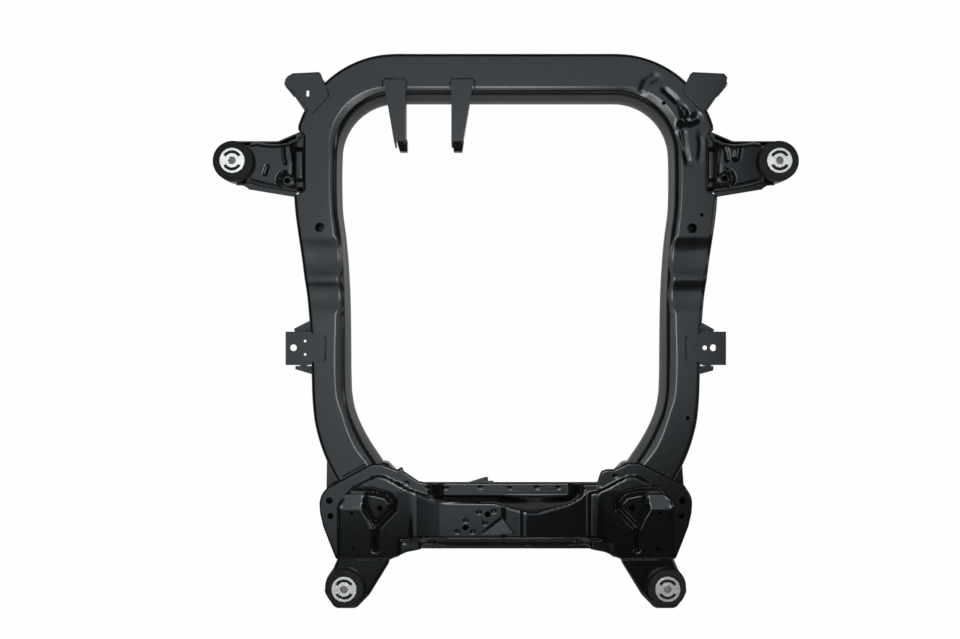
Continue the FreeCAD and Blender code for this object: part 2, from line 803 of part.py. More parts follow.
# Corner brackets
def corner_bracket(side):
    """Flat ear on the outside of a front corner, with one folded edge."""
    sign = SIDES[side]
    top = "Sizes.tube_bottom + Sizes.tube_depth - Sizes.corner_bracket_drop"
    body = new_body(f"corner_ear_{side}", f"{sign} * Sizes.rail_x", "Sizes.beam_y",
                    f"{top} - Sizes.bracket_sheet")

    def outline(sketch, corners):
        closed_outline(sketch, [(f"{sign} * ({x})", y) for x, y in corners])

    plate = sketch_on(body, f"ear_outline_{side}", "XY_Plane")
    outline(plate, [
        ("Sizes.ear_reach", "Sizes.ear_ahead - 19"), ("Sizes.ear_reach - 5", "Sizes.ear_ahead - 8"),
        ("Sizes.ear_reach - 14", "Sizes.ear_ahead - 2"), ("-4", "Sizes.ear_ahead"),
        ("-Sizes.ear_root", "-22"), ("6 - Sizes.ear_root", "-36"),
        ("12", "-Sizes.ear_behind"), ("20", "4 - Sizes.ear_behind"),
        ("Sizes.ear_reach - 16", "Sizes.ear_ahead - 38")])
    pad(body, plate, "Sizes.bracket_sheet")
    fold = sketch_on(body, f"ear_fold_{side}", "XY_Plane", "-Sizes.bracket_flange")
    outline(fold, [
        ("Sizes.ear_reach - 2", "Sizes.ear_ahead - 22"),
        ("Sizes.ear_reach + 1", "Sizes.ear_ahead - 20"),
        ("Sizes.ear_reach - 15", "Sizes.ear_ahead - 39.5"),
        ("Sizes.ear_reach - 18", "Sizes.ear_ahead - 37")])
    pad(body, fold, "Sizes.bracket_flange + Sizes.bracket_sheet / 2")
    hole = sketch_on(body, f"ear_hole_{side}", "XY_Plane")
    circle(hole, f"{sign} * Sizes.ear_hole_x", "-Sizes.ear_hole_back", "Sizes.ear_hole_radius")
    cut_through(body, hole)
    trimmed(f"corner_bracket_{side}", body, tube_tool)


# Side brackets and their gussets. Each hole: its place from the bracket's middle at the
# tube's edge, outwards and ahead, and the name of its radius. The two sides differ.
SIDE_HOLES = {
    "left": [(28, 1, "side_bolt_radius"), (9, 12, "side_small_radius"),
             (9, -10, "side_small_radius"), (-8, 2, "side_pin_radius")],
    "right": [(20, 1, "side_bolt_radius"), (6, 1, "side_lock_radius"),
              (-9, 2, "side_pin_radius")],
}


def side_bracket(side):
    sign = SIDES[side]
    edge = "(Sizes.waist_x + Sizes.waist_width / 2)"
    base = "Sizes.tube_bottom + Sizes.tube_depth"
    body = new_body(f"side_blank_{side}", f"{sign} * {edge}", "Sizes.side_bracket_y", base)
    inner = f"{sign} * (-Sizes.side_bracket_overlap)"
    outer = f"{sign} * (Sizes.side_bracket_reach - Sizes.side_bracket_overlap)"
    half = "Sizes.side_bracket_length / 2"
    plate = sketch_on(body, f"side_plate_{side}", "XY_Plane")
    closed_outline(plate, [
        (inner, f"-{half} + 5"), (inner, f"{half} - 3"), (f"{sign} * -4", f"{half} - 3"),
        ("0", half), (outer, half), (outer, f"-{half}"), ("0", f"-{half}"),
        (f"{sign} * -4", f"-{half} + 5")])
    pad(body, plate, "Sizes.bracket_sheet")
    for number, low in enumerate((f"-{half}", f"{half} - Sizes.bracket_sheet")):
        fold = sketch_on(body, f"side_fold_{side}_{number}", "XY_Plane",
                         "-Sizes.side_bracket_flange")
        high = f"{low} + Sizes.bracket_sheet"
        near = f"{sign} * 2"
        closed_outline(fold, [(near, low), (outer, low), (outer, high), (near, high)])
        pad(body, fold, "Sizes.side_bracket_flange + Sizes.bracket_sheet / 2")
    holes = sketch_on(body, f"side_holes_{side}", "XY_Plane")
    for out, ahead, radius in SIDE_HOLES[side]:
        circle(holes, f"{sign * out}", f"{ahead}", f"Sizes.{radius}")
    cut_through(body, holes)
    trimmed(f"side_bracket_{side}", body, tube_tool)

    channel = new_body(f"gusset_blank_{side}", f"{sign} * {edge}", "Sizes.side_bracket_y",
                       f"{base} - Sizes.side_bracket_flange")
    long_half = "Sizes.gusset_length / 2"
    short_half = "(Sizes.side_bracket_length / 2 - Sizes.bracket_sheet - 1)"
    low = "Sizes.side_bracket_flange - Sizes.gusset_depth"
    outline = sketch_on(channel, f"gusset_outline_{side}", "XY_Plane", low)
    reach = f"{sign} * Sizes.gusset_reach"
    wall = "Sizes.bracket_sheet"
    root = f"{sign} * -20"
    face = f"{sign} * (Sizes.gusset_reach - {wall})"
    closed_outline(outline, [
        (root, long_half), (reach, short_half), (reach, f"-{short_half}"),
        (root, f"-{long_half}"), (root, f"-{long_half} + {wall}"),
        (face, f"-{short_half} + {wall}"), (face, f"{short_half} - {wall}"),
        (root, f"{long_half} - {wall}")])
    pad(channel, outline, "Sizes.gusset_depth - Sizes.side_bracket_flange - Sizes.fit_gap")
    trimmed(f"side_gusset_{side}", channel, tube_tool)


for side in SIDES:
    corner_bracket(side)
    side_bracket(side)


# Nuts welded under the box, and a clip tab under the front flange
def nut(label, places, level, width, height, sides):
    """Group of like nuts whose tops meet one level."""
    solids = []
    for x, y in places:
        corners = []
        for number in range(sides + 1):
            turn = 2 * math.pi * (number + 0.5) / sides
            reach = width / 2 / math.cos(math.pi / sides)
            corners.append(Vector(x + reach * math.cos(turn), y + reach * math.sin(turn),
                                  level - height))
        block = Part.Face(Part.makePolygon(corners)).extrude(Vector(0, 0, height))
        bore = Part.makeCylinder(size("nut_bore"), height + 2, Vector(x, y, level - height - 1))
        solids.append(block.cut(bore))
    keep(label, Part.makeCompound(solids))


nut("box_weld_nuts", box_nut_places(), BOX_TOP - SHEET, size("nut_width"),
    size("nut_height"), 6)


def clip_tab():
    """Small tab under the front flange, with a hook for a pipe clip."""
    seam = "Sizes.tube_bottom + Sizes.tube_depth - Sizes.seam_drop"
    body = new_body("front_clip_tab", "Sizes.clip_x", "Sizes.front_flange_y",
                    f"{seam} - 2 * Sizes.sheet")
    outline = sketch_on(body, "tab_outline", "XY_Plane", "-Sizes.clip_sheet")
    closed_outline(outline, [
        ("-Sizes.clip_half", "-Sizes.clip_lap"), ("Sizes.clip_half - 1", "-Sizes.clip_lap"),
        ("Sizes.clip_half - 1", "Sizes.clip_lap / 3"), ("Sizes.clip_half - 10", "Sizes.clip_lap / 3"),
        ("Sizes.clip_half - 10", "Sizes.clip_reach - 0.5"),
        ("Sizes.clip_half - 14", "Sizes.clip_reach")])
    pad(body, outline, "Sizes.clip_sheet")
    kept.append(body)


clip_tab()
doc.recompute()

for item in doc.Objects:
    if "Invalid" in item.State or "Error" in item.State:
        raise RuntimeError(f"{item.Label} did not build: {item.State}")
    if item.TypeId in ("PartDesign::Pocket", "PartDesign::Groove"):
        if item.Shape.Volume > item.BaseFeature.Shape.Volume - 1:
            raise RuntimeError(f"{item.Label} cut nothing away")
os.makedirs("parts", exist_ok=True)
for item in kept:
    if item.Shape.isNull() or not item.Shape.isValid():
        raise RuntimeError(f"{item.Label} is not a valid shape")
for item in kept:
    item.Shape.exportStep(f"parts/{item.Label}.step")
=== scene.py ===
# %% [markdown]
# # A pressed and welded subframe
# The real object is the cradle that carries an engine and the front suspension: one bent
# tube, a pressed box across its open end, four arms with rubber bushes, and small brackets.
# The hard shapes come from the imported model. The softly pressed sheet is modelled here,
# because a press leaves dents and creases that are easier to draw as a fine grid of points.

# %% Load the frame
import math

import bmesh
import bpy
import numpy as np
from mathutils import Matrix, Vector


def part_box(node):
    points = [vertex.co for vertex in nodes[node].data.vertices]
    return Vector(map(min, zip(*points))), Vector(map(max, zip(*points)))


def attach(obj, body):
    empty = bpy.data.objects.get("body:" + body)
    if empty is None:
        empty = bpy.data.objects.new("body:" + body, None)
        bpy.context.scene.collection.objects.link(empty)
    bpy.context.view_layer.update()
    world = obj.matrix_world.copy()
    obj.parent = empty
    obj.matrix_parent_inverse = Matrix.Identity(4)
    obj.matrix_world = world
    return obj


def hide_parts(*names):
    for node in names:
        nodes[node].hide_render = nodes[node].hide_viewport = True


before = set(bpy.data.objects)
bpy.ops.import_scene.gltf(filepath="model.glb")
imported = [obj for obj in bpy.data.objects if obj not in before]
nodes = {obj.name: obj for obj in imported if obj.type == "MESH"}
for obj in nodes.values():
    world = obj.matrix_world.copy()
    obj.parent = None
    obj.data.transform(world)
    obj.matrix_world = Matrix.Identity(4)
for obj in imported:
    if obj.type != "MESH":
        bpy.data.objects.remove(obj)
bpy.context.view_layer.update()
print("nodes in the packed model:", len(nodes))

# %% [markdown]
# ## Camera
# The part lies on a table and is seen straight from above, a little left of its middle.
# A long lens far away would hide the sides of the tube completely. At 2.6 m the inner
# walls still show as thin lighter bands, so the camera stands there.

# %% Camera above the table
camera_data = bpy.data.cameras.new("overhead_camera")
camera_data.lens = 57.26
camera_data.sensor_width = 36.0
camera = bpy.data.objects.new("overhead_camera", camera_data)
camera.location = (-0.0425, 0.0206, 2.6)
bpy.context.scene.collection.objects.link(camera)
bpy.context.scene.camera = camera
print("camera height above the table in metres:", round(camera.location.z, 3))

# %% [markdown]
# ## Sheet-metal black
# The steel is dipped in black primer. It is a thin satin coat: nearly black, faintly blue,
# with broad soft patches where it ran thicker, and a fine orange-peel skin. One shader
# group makes those changes, so every steel piece can use it with its own strengths.

# %% Shader group for a dipped coat
def add_node(tree, kind, **values):
    node = tree.nodes.new(kind)
    for name, value in values.items():
        setattr(node, name, value)
    return node


def coat_group():
    tree = bpy.data.node_groups.new("dipped_coat", "ShaderNodeTree")
    sockets = tree.interface
    colour = sockets.new_socket("Thin Color", in_out="INPUT", socket_type="NodeSocketColor")
    colour.default_value = (0.003, 0.0035, 0.004, 1)
    thick = sockets.new_socket("Thick Color", in_out="INPUT", socket_type="NodeSocketColor")
    thick.default_value = (0.006, 0.007, 0.008, 1)
    for name, value in (("Patch Scale", 9.0), ("Skin Scale", 420.0), ("Smoothest", 0.24),
                        ("Roughest", 0.36), ("Dust", 0.06)):
        number = sockets.new_socket(name, in_out="INPUT", socket_type="NodeSocketFloat")
        number.default_value = value
    sockets.new_socket("Color", in_out="OUTPUT", socket_type="NodeSocketColor")
    sockets.new_socket("Roughness", in_out="OUTPUT", socket_type="NodeSocketFloat")
    sockets.new_socket("Height", in_out="OUTPUT", socket_type="NodeSocketFloat")
    into = add_node(tree, "NodeGroupInput")
    out = add_node(tree, "NodeGroupOutput")
    place = add_node(tree, "ShaderNodeTexCoord")
    link = tree.links.new

    patches = add_node(tree, "ShaderNodeTexNoise")
    patches.inputs["Detail"].default_value = 5.0
    link(place.outputs["Object"], patches.inputs["Vector"])
    link(into.outputs["Patch Scale"], patches.inputs["Scale"])
    skin = add_node(tree, "ShaderNodeTexNoise")
    skin.inputs["Detail"].default_value = 2.0
    link(place.outputs["Object"], skin.inputs["Vector"])
    link(into.outputs["Skin Scale"], skin.inputs["Scale"])
    specks = add_node(tree, "ShaderNodeTexNoise")
    specks.inputs["Scale"].default_value = 160.0
    specks.inputs["Detail"].default_value = 6.0
    link(place.outputs["Object"], specks.inputs["Vector"])

    depth = add_node(tree, "ShaderNodeMapRange")
    depth.inputs["From Min"].default_value = 0.35
    depth.inputs["From Max"].default_value = 0.65
    link(patches.outputs["Fac"], depth.inputs["Value"])
    tone = add_node(tree, "ShaderNodeMix", data_type="RGBA")
    link(depth.outputs["Result"], tone.inputs["Factor"])
    link(into.outputs["Thin Color"], tone.inputs["A"])
    link(into.outputs["Thick Color"], tone.inputs["B"])

    dust_place = add_node(tree, "ShaderNodeMapRange")
    dust_place.inputs["From Min"].default_value = 0.56
    dust_place.inputs["From Max"].default_value = 0.74
    link(specks.outputs["Fac"], dust_place.inputs["Value"])
    dust = add_node(tree, "ShaderNodeMath", operation="MULTIPLY")
    link(dust_place.outputs["Result"], dust.inputs[0])
    link(into.outputs["Dust"], dust.inputs[1])
    dusty = add_node(tree, "ShaderNodeMix", data_type="RGBA")
    dusty.inputs["B"].default_value = (0.16, 0.17, 0.17, 1)
    link(dust.outputs["Value"], dusty.inputs["Factor"])
    link(tone.outputs["Result"], dusty.inputs["A"])
    link(dusty.outputs["Result"], out.inputs["Color"])

    shine = add_node(tree, "ShaderNodeMapRange")
    link(specks.outputs["Fac"], shine.inputs["Value"])
    link(into.outputs["Smoothest"], shine.inputs["To Min"])
    link(into.outputs["Roughest"], shine.inputs["To Max"])
    link(shine.outputs["Result"], out.inputs["Roughness"])
    link(skin.outputs["Fac"], out.inputs["Height"])
    return tree


coat = coat_group()
print("shader group sockets:", len(coat.interface.items_tree))


# %% Steel finishes made with the coat
def coated(name, thin, thick, smooth, rough, dust, skin, bump, ior=1.5):
    material = bpy.data.materials.new(name)
    material.use_nodes = True
    tree = material.node_tree
    shader = tree.nodes["Principled BSDF"]
    shader.inputs["IOR"].default_value = ior
    layer = add_node(tree, "ShaderNodeGroup")
    layer.node_tree = coat
    layer.inputs["Thin Color"].default_value = thin
    layer.inputs["Thick Color"].default_value = thick
    layer.inputs["Smoothest"].default_value = smooth
    layer.inputs["Roughest"].default_value = rough
    layer.inputs["Dust"].default_value = dust
    layer.inputs["Skin Scale"].default_value = skin
    relief = add_node(tree, "ShaderNodeBump")
    relief.inputs["Strength"].default_value = bump
    relief.inputs["Distance"].default_value = 0.0004
    tree.links.new(layer.outputs["Color"], shader.inputs["Base Color"])
    tree.links.new(layer.outputs["Roughness"], shader.inputs["Roughness"])
    tree.links.new(layer.outputs["Height"], relief.inputs["Height"])
    tree.links.new(relief.outputs["Normal"], shader.inputs["Normal"])
    return material


sheet_black = coated("sheet_black", (0.0028, 0.0032, 0.0036, 1), (0.006, 0.007, 0.008, 1),
                     0.12, 0.20, 0.035, 420.0, 0.05)
tube_black = coated("tube_black", (0.003, 0.0034, 0.0038, 1), (0.007, 0.0085, 0.0095, 1),
                    0.13, 0.22, 0.04, 360.0, 0.06)
weld_black = coated("weld_black", (0.005, 0.006, 0.006, 1), (0.020, 0.022, 0.023, 1),
                    0.20, 0.40, 0.10, 900.0, 0.30)
sleeve_black = coated("sleeve_black", (0.003, 0.003, 0.0035, 1), (0.006, 0.007, 0.008, 1),
                      0.10, 0.18, 0.03, 500.0, 0.04)
print("steel finishes:", sheet_black.name, tube_black.name, weld_black.name, sleeve_black.name)


# %% [markdown]
# ## Rubber and bright metal
# Bush rubber is matt and darker than the coat, with mould dust in its rings. The bush
# cores are turned aluminium: pale, with fine circles round their own centre. Each core
# gets its origin at its centre, so the circles follow object coordinates.

# %% Rubber
bush_rubber = coated("bush_rubber", (0.010, 0.010, 0.011, 1), (0.018, 0.018, 0.019, 1),
                     0.52, 0.72, 0.10, 700.0, 0.12, ior=1.42)
print("rubber finish:", bush_rubber.name)


# %% Turned aluminium
def turned_aluminium():
    material = bpy.data.materials.new("turned_aluminium")
    material.use_nodes = True
    tree = material.node_tree
    shader = tree.nodes["Principled BSDF"]
    shader.inputs["Metallic"].default_value = 1.0
    place = add_node(tree, "ShaderNodeTexCoord")
    rings = add_node(tree, "ShaderNodeTexWave", wave_type="RINGS", rings_direction="Z")
    rings.inputs["Scale"].default_value = 420.0
    rings.inputs["Distortion"].default_value = 0.6
    tree.links.new(place.outputs["Object"], rings.inputs["Vector"])
    blotch = add_node(tree, "ShaderNodeTexNoise")
    blotch.inputs["Scale"].default_value = 120.0
    tree.links.new(place.outputs["Object"], blotch.inputs["Vector"])
    tint = add_node(tree, "ShaderNodeMix", data_type="RGBA")
    tint.inputs["A"].default_value = (1.0, 0.97, 0.93, 1)
    tint.inputs["B"].default_value = (0.95, 0.92, 0.88, 1)
    tree.links.new(blotch.outputs["Fac"], tint.inputs["Factor"])
    tree.links.new(tint.outputs["Result"], shader.inputs["Base Color"])
    span = add_node(tree, "ShaderNodeMapRange")
    span.inputs["To Min"].default_value = 0.24
    span.inputs["To Max"].default_value = 0.38
    tree.links.new(rings.outputs["Fac"], span.inputs["Value"])
    tree.links.new(span.outputs["Result"], shader.inputs["Roughness"])
    relief = add_node(tree, "ShaderNodeBump")
    relief.inputs["Strength"].default_value = 0.08
    relief.inputs["Distance"].default_value = 0.0002
    tree.links.new(rings.outputs["Fac"], relief.inputs["Height"])
    tree.links.new(relief.outputs["Normal"], shader.inputs["Normal"])
    return material


aluminium = turned_aluminium()
print("finishes in all:", len(bpy.data.materials))


# %% [markdown]
# ## Helpers for mesh pieces
# Points are written in millimetres, as a press shop would, and become metres here. Faces
# are smooth except where two of them meet at a clear angle, as a cut edge does.

# %% Build an object from points
SHARP = math.radians(34)


def sharpen(mesh):
    work = bmesh.new()
    work.from_mesh(mesh)
    for face in work.faces:
        face.smooth = True
    for edge in work.edges:
        if len(edge.link_faces) == 2:
            edge.smooth = edge.calc_face_angle(0.0) < SHARP
    work.to_mesh(mesh)
    work.free()


def piece(name, points, faces, material, replaced=()):
    mesh = bpy.data.meshes.new(name)
    mesh.from_pydata([tuple(p) for p in np.asarray(points) / 1000.0], [], faces)
    mesh.validate()
    work = bmesh.new()
    work.from_mesh(mesh)
    bmesh.ops.recalc_face_normals(work, faces=work.faces[:])
    work.to_mesh(mesh)
    work.free()
    thing = bpy.data.objects.new(name, mesh)
    bpy.context.scene.collection.objects.link(thing)
    mesh.materials.append(material)
    sharpen(mesh)
    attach(thing, "root")
    if replaced:
        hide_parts(*replaced)
    return thing


def apply_modifiers(thing):
    graph = bpy.context.evaluated_depsgraph_get()
    finished = bpy.data.meshes.new_from_object(thing.evaluated_get(graph))
    old = thing.data
    thing.modifiers.clear()
    thing.data = finished
    finished.name = thing.name
    bpy.data.meshes.remove(old)


def even_faces(thing):
    """Large flat faces keep their own normal, so a bevel beside them does not tint them."""
    sharpen(thing.data)
    weights = thing.modifiers.new("flat_faces", "WEIGHTED_NORMAL")
    weights.keep_sharp = True
    weights.weight = 100
    bpy.context.view_layer.update()
    apply_modifiers(thing)


def cylinder_points(centre, radius, low, high, steps, points, faces):
    start = len(points)
    for height in (low, high):
        for k in range(steps):
            turn = 2 * math.pi * k / steps
            points.append((centre[0] + radius * math.cos(turn),
                           centre[1] + radius * math.sin(turn), height))
    ring = list(range(start, start + steps))
    faces.append(ring[::-1])
    faces.append([k + steps for k in ring])
    for k in range(steps):
        after = (k + 1) % steps
        faces.append([start + k, start + after, start + after + steps, start + k + steps])


def punch(thing, holes):
    points = []
    faces = []
    for centre, radius, low, high in holes:
        cylinder_points(centre, radius, low, high, 36, points, faces)
    mesh = bpy.data.meshes.new("punches")
    mesh.from_pydata([tuple(p) for p in np.asarray(points) / 1000.0], [], faces)
    punches = bpy.data.objects.new("punches", mesh)
    bpy.context.scene.collection.objects.link(punches)
    cut = thing.modifiers.new("holes", "BOOLEAN")
    cut.operation = "DIFFERENCE"
    cut.solver = "EXACT"
    cut.object = punches
    bpy.context.view_layer.update()
    apply_modifiers(thing)
    bpy.data.objects.remove(punches)
    bpy.data.meshes.remove(mesh)
    even_faces(thing)


def smoothstep(value):
    value = np.clip(value, 0.0, 1.0)
    return value * value * (3 - 2 * value)


print("helpers ready")


# %% [markdown]
# ## The bent tube
# The tube is hydroformed: one pipe is bent and then blown out against a die, so its
# width, its creases and its dents change along its length. It could be a curve with a
# bevel, but that keeps one section everywhere. Here pairs of points on the outer and the
# inner edge are joined by smooth curves, and each pair carries the same section stretched
# between them, with its own distance to the two creases.

# %% Edge pairs of the right half in millimetres
CORNER_X = 181.5
CORNER_Y = 290.5
OUTER_R = 168.7
INNER_R = 91.0
edge_pairs = [(x, 459.2, x, 381.5, 22.5, 17, 9.5) for x in (0, 60, 120, 160)]
for step in range(13):
    turn = math.radians(7.5 * step)
    along = step / 12
    bulge = math.sin(math.pi * along)
    edge_pairs.append((CORNER_X + OUTER_R * math.sin(turn), CORNER_Y + OUTER_R * math.cos(turn),
                       CORNER_X + INNER_R * math.sin(turn), CORNER_Y + INNER_R * math.cos(turn),
                       22.5 + 7 * bulge - 5 * along, 17 + bulge - 4.5 * along, 9.5 - 3.7 * along))
edge_pairs += [
    (350.0, 270.0, 273.0, 270.0, 17.5, 12.5, 5.8),
    (350.0, 236.0, 273.0, 236.0, 17.5, 12.5, 5.8),
    (348.0, 203.5, 272.0, 203.5, 17, 12.5, 5.8),
    (341.5, 153.4, 265.8, 153.4, 17.5, 12.5, 5.8),
    (334.5, 103.3, 261.6, 103.3, 19, 12.5, 6),
    (327.5, 53.2, 259.2, 53.2, 21, 12.5, 6.5),
    (323.5, 10.0, 258.4, 10.0, 22.5, 12.5, 7),
    (321.5, -30.3, 258.0, -30.3, 24, 13, 7.5),
    (320.5, -75.0, 257.6, -72.0, 24, 13, 7.5),
    (319.0, -113.8, 256.0, -105.0, 23, 13, 7.5),
    (315.5, -147.2, 250.5, -132.0, 20, 13, 7),
    (308.5, -177.0, 240.0, -158.0, 22, 13, 7),
    (297.0, -209.0, 225.0, -185.0, 24, 14, 8),
    (280.0, -242.0, 207.0, -212.0, 22, 14, 8),
    (259.0, -277.0, 190.0, -240.0, 22, 14, 8),
    (238.0, -311.0, 174.0, -274.7, 22, 14, 8),
]
full_pairs = [(-pair[0], pair[1], -pair[2]) + pair[3:] for pair in reversed(edge_pairs[1:])]
full_pairs = np.array(full_pairs + edge_pairs, float)
print("edge pairs along the whole tube:", len(full_pairs))


# %% Smooth the pairs into stations
def smooth_rows(rows, spacing):
    middle = (rows[:, 0:2] + rows[:, 2:4]) / 2
    lengths = np.concatenate([[0], np.cumsum(np.linalg.norm(np.diff(middle, axis=0), axis=1))])
    count = int(lengths[-1] / spacing)
    places = np.linspace(0, lengths[-1], count)
    slopes = np.gradient(rows, lengths, axis=0)
    found = np.searchsorted(lengths, places, side="right") - 1
    found = np.clip(found, 0, len(rows) - 2)
    gap = (lengths[found + 1] - lengths[found])[:, None]
    t = (places - lengths[found])[:, None] / gap
    start = rows[found]
    stop = rows[found + 1]
    return ((2 * t**3 - 3 * t**2 + 1) * start + (t**3 - 2 * t**2 + t) * gap * slopes[found]
            + (-2 * t**3 + 3 * t**2) * stop + (t**3 - t**2) * gap * slopes[found + 1])


stations = smooth_rows(full_pairs, 5.0)
print("stations:", len(stations), "about every 5 mm")

# %% [markdown]
# ## The section and its dents
# From the outside edge the section goes up a round shoulder, across a flat top to a first
# crease, down a shallow slope to a second crease, and then down a steep flank. Two round
# hollows are pressed into the top of each rail, and there the creases swing inwards.

# %% Section of the tube
TUBE_LOW = 22.0
TUBE_HIGH = 84.0
ROUND = 14.0
TOP_ROUND = 5.5
dents = [(123.1, 36.0, 4.2, 9.0), (60.1, 28.0, 3.3, 8.0)]
LEANS = [17, 24, 31, 37, 43, 49, 57]


def section_row(width, first, second, light):
    out = []
    for k in range(6):
        turn = math.pi / 2 * k / 5
        out.append((ROUND - ROUND * math.sin(turn), TUBE_LOW + ROUND - ROUND * math.cos(turn)))
    for k in range(1, 4):
        out.append((0.0, TUBE_LOW + ROUND
                    + (TUBE_HIGH - TUBE_LOW - ROUND - TOP_ROUND) * k / 4))
    for k in range(9):
        turn = math.pi / 2 * k / 8
        out.append((TOP_ROUND - TOP_ROUND * math.cos(turn),
                    TUBE_HIGH - TOP_ROUND + TOP_ROUND * math.sin(turn)))
    for k in range(1, 13):
        share = k / 13
        out.append((TOP_ROUND + (width - first - 1.6 - TOP_ROUND) * share, TUBE_HIGH))
    slope = math.radians(12)
    x = width - first - 1.6
    z = TUBE_HIGH
    out.append((x, z))
    for k in range(1, 5):
        lean = slope * (k - 0.5) / 4
        x += 0.8
        z -= 0.8 * math.tan(lean)
        out.append((x, z))
    span = max(0.5, width - second - x)
    for k in range(1, 4):
        out.append((x + span * k / 3, z - span * k / 3 * math.tan(slope)))
    x += span
    z -= span * math.tan(slope)
    step = (width - light - x) / len(LEANS)
    for lean in LEANS:
        x += step
        z -= step * math.tan(math.radians(lean))
        out.append((x, z))
    span = width - 2.6 - x
    for k in range(1, 6):
        share = k / 5
        out.append((x + span * share, z - (z - 56.5) * share))
    out += [(width - 1.6, 51.0), (width - 0.5, 46.0), (width, 40.0)]
    for k in range(1, 6):
        turn = math.pi / 2 * k / 5
        out.append((width - ROUND + ROUND * math.cos(turn),
                    TUBE_LOW + ROUND - ROUND * math.sin(turn)))
    for k in range(1, 7):
        out.append((width - ROUND - (width - 2 * ROUND) * k / 7, TUBE_LOW))
    return np.array(out)


def rail_swing(y, start, reach):
    inside = np.clip(1 - ((y - start) / reach) ** 2, 0, 1)
    return math.sqrt(inside)


print("points round one section:", len(section_row(76, 25, 20, 12)))


# %% Hollows pressed into the front right corner
def run_distance(x, y, a, b):
    run = b - a
    share = np.clip(((x - a[0]) * run[0] + (y - a[1]) * run[1]) / (run @ run), 0, 1)
    return np.hypot(x - a[0] - share * run[0], y - a[1] - share * run[1])


def stroke_depth(x, y, path, half_width, depth):
    path = np.asarray(path, float)
    best = np.full(x.shape, 1e9)
    for a, b in zip(path[:-1], path[1:]):
        best = np.minimum(best, run_distance(x, y, a, b))
    return depth * smoothstep(1 - best / half_width)


def corner_pressing(x, y):
    strokes = [([(293, 366), (298, 351), (303, 347), (317, 354)], 7.0, 4.0),
               ([(300, 347), (286, 341)], 6.5, 3.0),
               ([(293, 330), (296, 305), (300, 284)], 4.5, 1.2),
               ([(320, 326), (322, 306), (320, 290)], 4.5, 1.0),
               ([(284, 327), (291, 303), (298, 286)], 4.5, 1.2),
               ([(299, 281), (309, 277), (320, 281)], 5.0, 0.9),
               ([(262, 399), (272, 391), (283, 380)], 6.0, 1.8),
               ([(226, 398), (232, 412), (247, 421)], 9.0, 1.3)]
    sunk = np.zeros_like(x)
    for path, half_width, depth in strokes:
        sunk = np.maximum(sunk, stroke_depth(x, y, path, half_width, depth))
    return sunk


def top_sink(x, y, share):
    sunk = np.zeros_like(x)
    for middle, reach, depth, swing in dents:
        along = np.clip(1 - ((y - middle) / reach) ** 2, 0, 1) ** 1.4
        sunk = np.maximum(sunk, depth * along * (1 - 0.08 * (2 * share - 1) ** 2))
    return sunk + corner_pressing(x, y)


print("deepest sink in the front right corner in mm:",
      round(float(corner_pressing(np.array([305.0]), np.array([357.0]))[0]), 1))


# %% Skin of the tube, outside and inside
def tube_grid():
    rows = []
    for ox, oy, ix, iy, first, second, light in stations:
        width = math.hypot(ix - ox, iy - oy)
        across = np.array([ix - ox, iy - oy]) / width
        seat = 15.0 * float(smoothstep((oy - 224) / 9) * smoothstep((336 - oy) / 9))
        seat = max(0.0, min(seat, abs(ox) - 335))
        start = np.array([ox, oy]) + across * seat
        width -= seat
        for middle, reach, depth, swing in dents:
            shift = swing * rail_swing(oy, middle, reach)
            first = first - shift * 0.7
            second = second - shift * 0.35
        second = max(second, light + 4.0)
        first = max(first, second + 3.2)
        row = section_row(width, first, second, light)
        spots = start + row[:, :1] * across
        share = np.clip((row[:, 0] - 6) / (width - first - 6), 0, 1)
        on_top = smoothstep((row[:, 1] - 68) / 8) * smoothstep((width - 4 - row[:, 0]) / 6)
        height = row[:, 1] - top_sink(spots[:, 0], spots[:, 1], share) * on_top
        rows.append(np.column_stack([spots, height]))
    return np.array(rows)


def inside_grid(grid, wall):
    round_way = np.roll(grid, -1, axis=1) - np.roll(grid, 1, axis=1)
    along = np.gradient(grid, axis=0)
    normal = np.cross(along, round_way)
    normal /= np.linalg.norm(normal, axis=2, keepdims=True)
    middle = grid.mean(axis=1, keepdims=True)
    toward = np.sign(np.sum((middle - grid) * normal, axis=2, keepdims=True))
    return grid + normal * toward * wall


outer = tube_grid()
inner = inside_grid(outer, 2.4)
count, around = outer.shape[0], outer.shape[1]
points = np.concatenate([outer.reshape(-1, 3), inner.reshape(-1, 3)])
faces = []
for i in range(count - 1):
    for j in range(around):
        k = (j + 1) % around
        a, b, c, d = i * around + j, i * around + k, (i + 1) * around + k, (i + 1) * around + j
        faces.append([a, b, c, d])
        shift = count * around
        faces.append([d + shift, c + shift, b + shift, a + shift])
for i in (0, count - 1):
    for j in range(around):
        k = (j + 1) % around
        shift = count * around
        faces.append([i * around + j, i * around + k, i * around + k + shift,
                      i * around + j + shift])
tube = piece("bent_tube", points, faces, tube_black, ["frame_tube"])
print("tube faces:", len(tube.data.polygons))

# %% Holes through the top of the tube
punch(tube, [((-306.5, 172.4), 8.0, 70, 95), ((306.8, 170.9), 8.3, 70, 95),
             ((323.0, 192.8), 3.3, 70, 95), ((260.3, 377.3), 3.2, 60, 95),
             ((299.6, -141.9), 3.4, 70, 95), ((207.2, -289.2), 6.0, 60, 95),
             ((-207.2, -289.2), 6.0, 60, 95)])
print("tube faces after punching:", len(tube.data.polygons))

# %% [markdown]
# ## The pressed crossmember
# The upper shell of the box is one deep pressing. Its rim lies on the tube at each corner
# and drops to a spot-welded flange between them, and one continuous wall rises from the
# rim to the top. A height at every point of a fine grid describes that well: the wall is
# found from the distance to two outlines, one at its foot and one at its head.

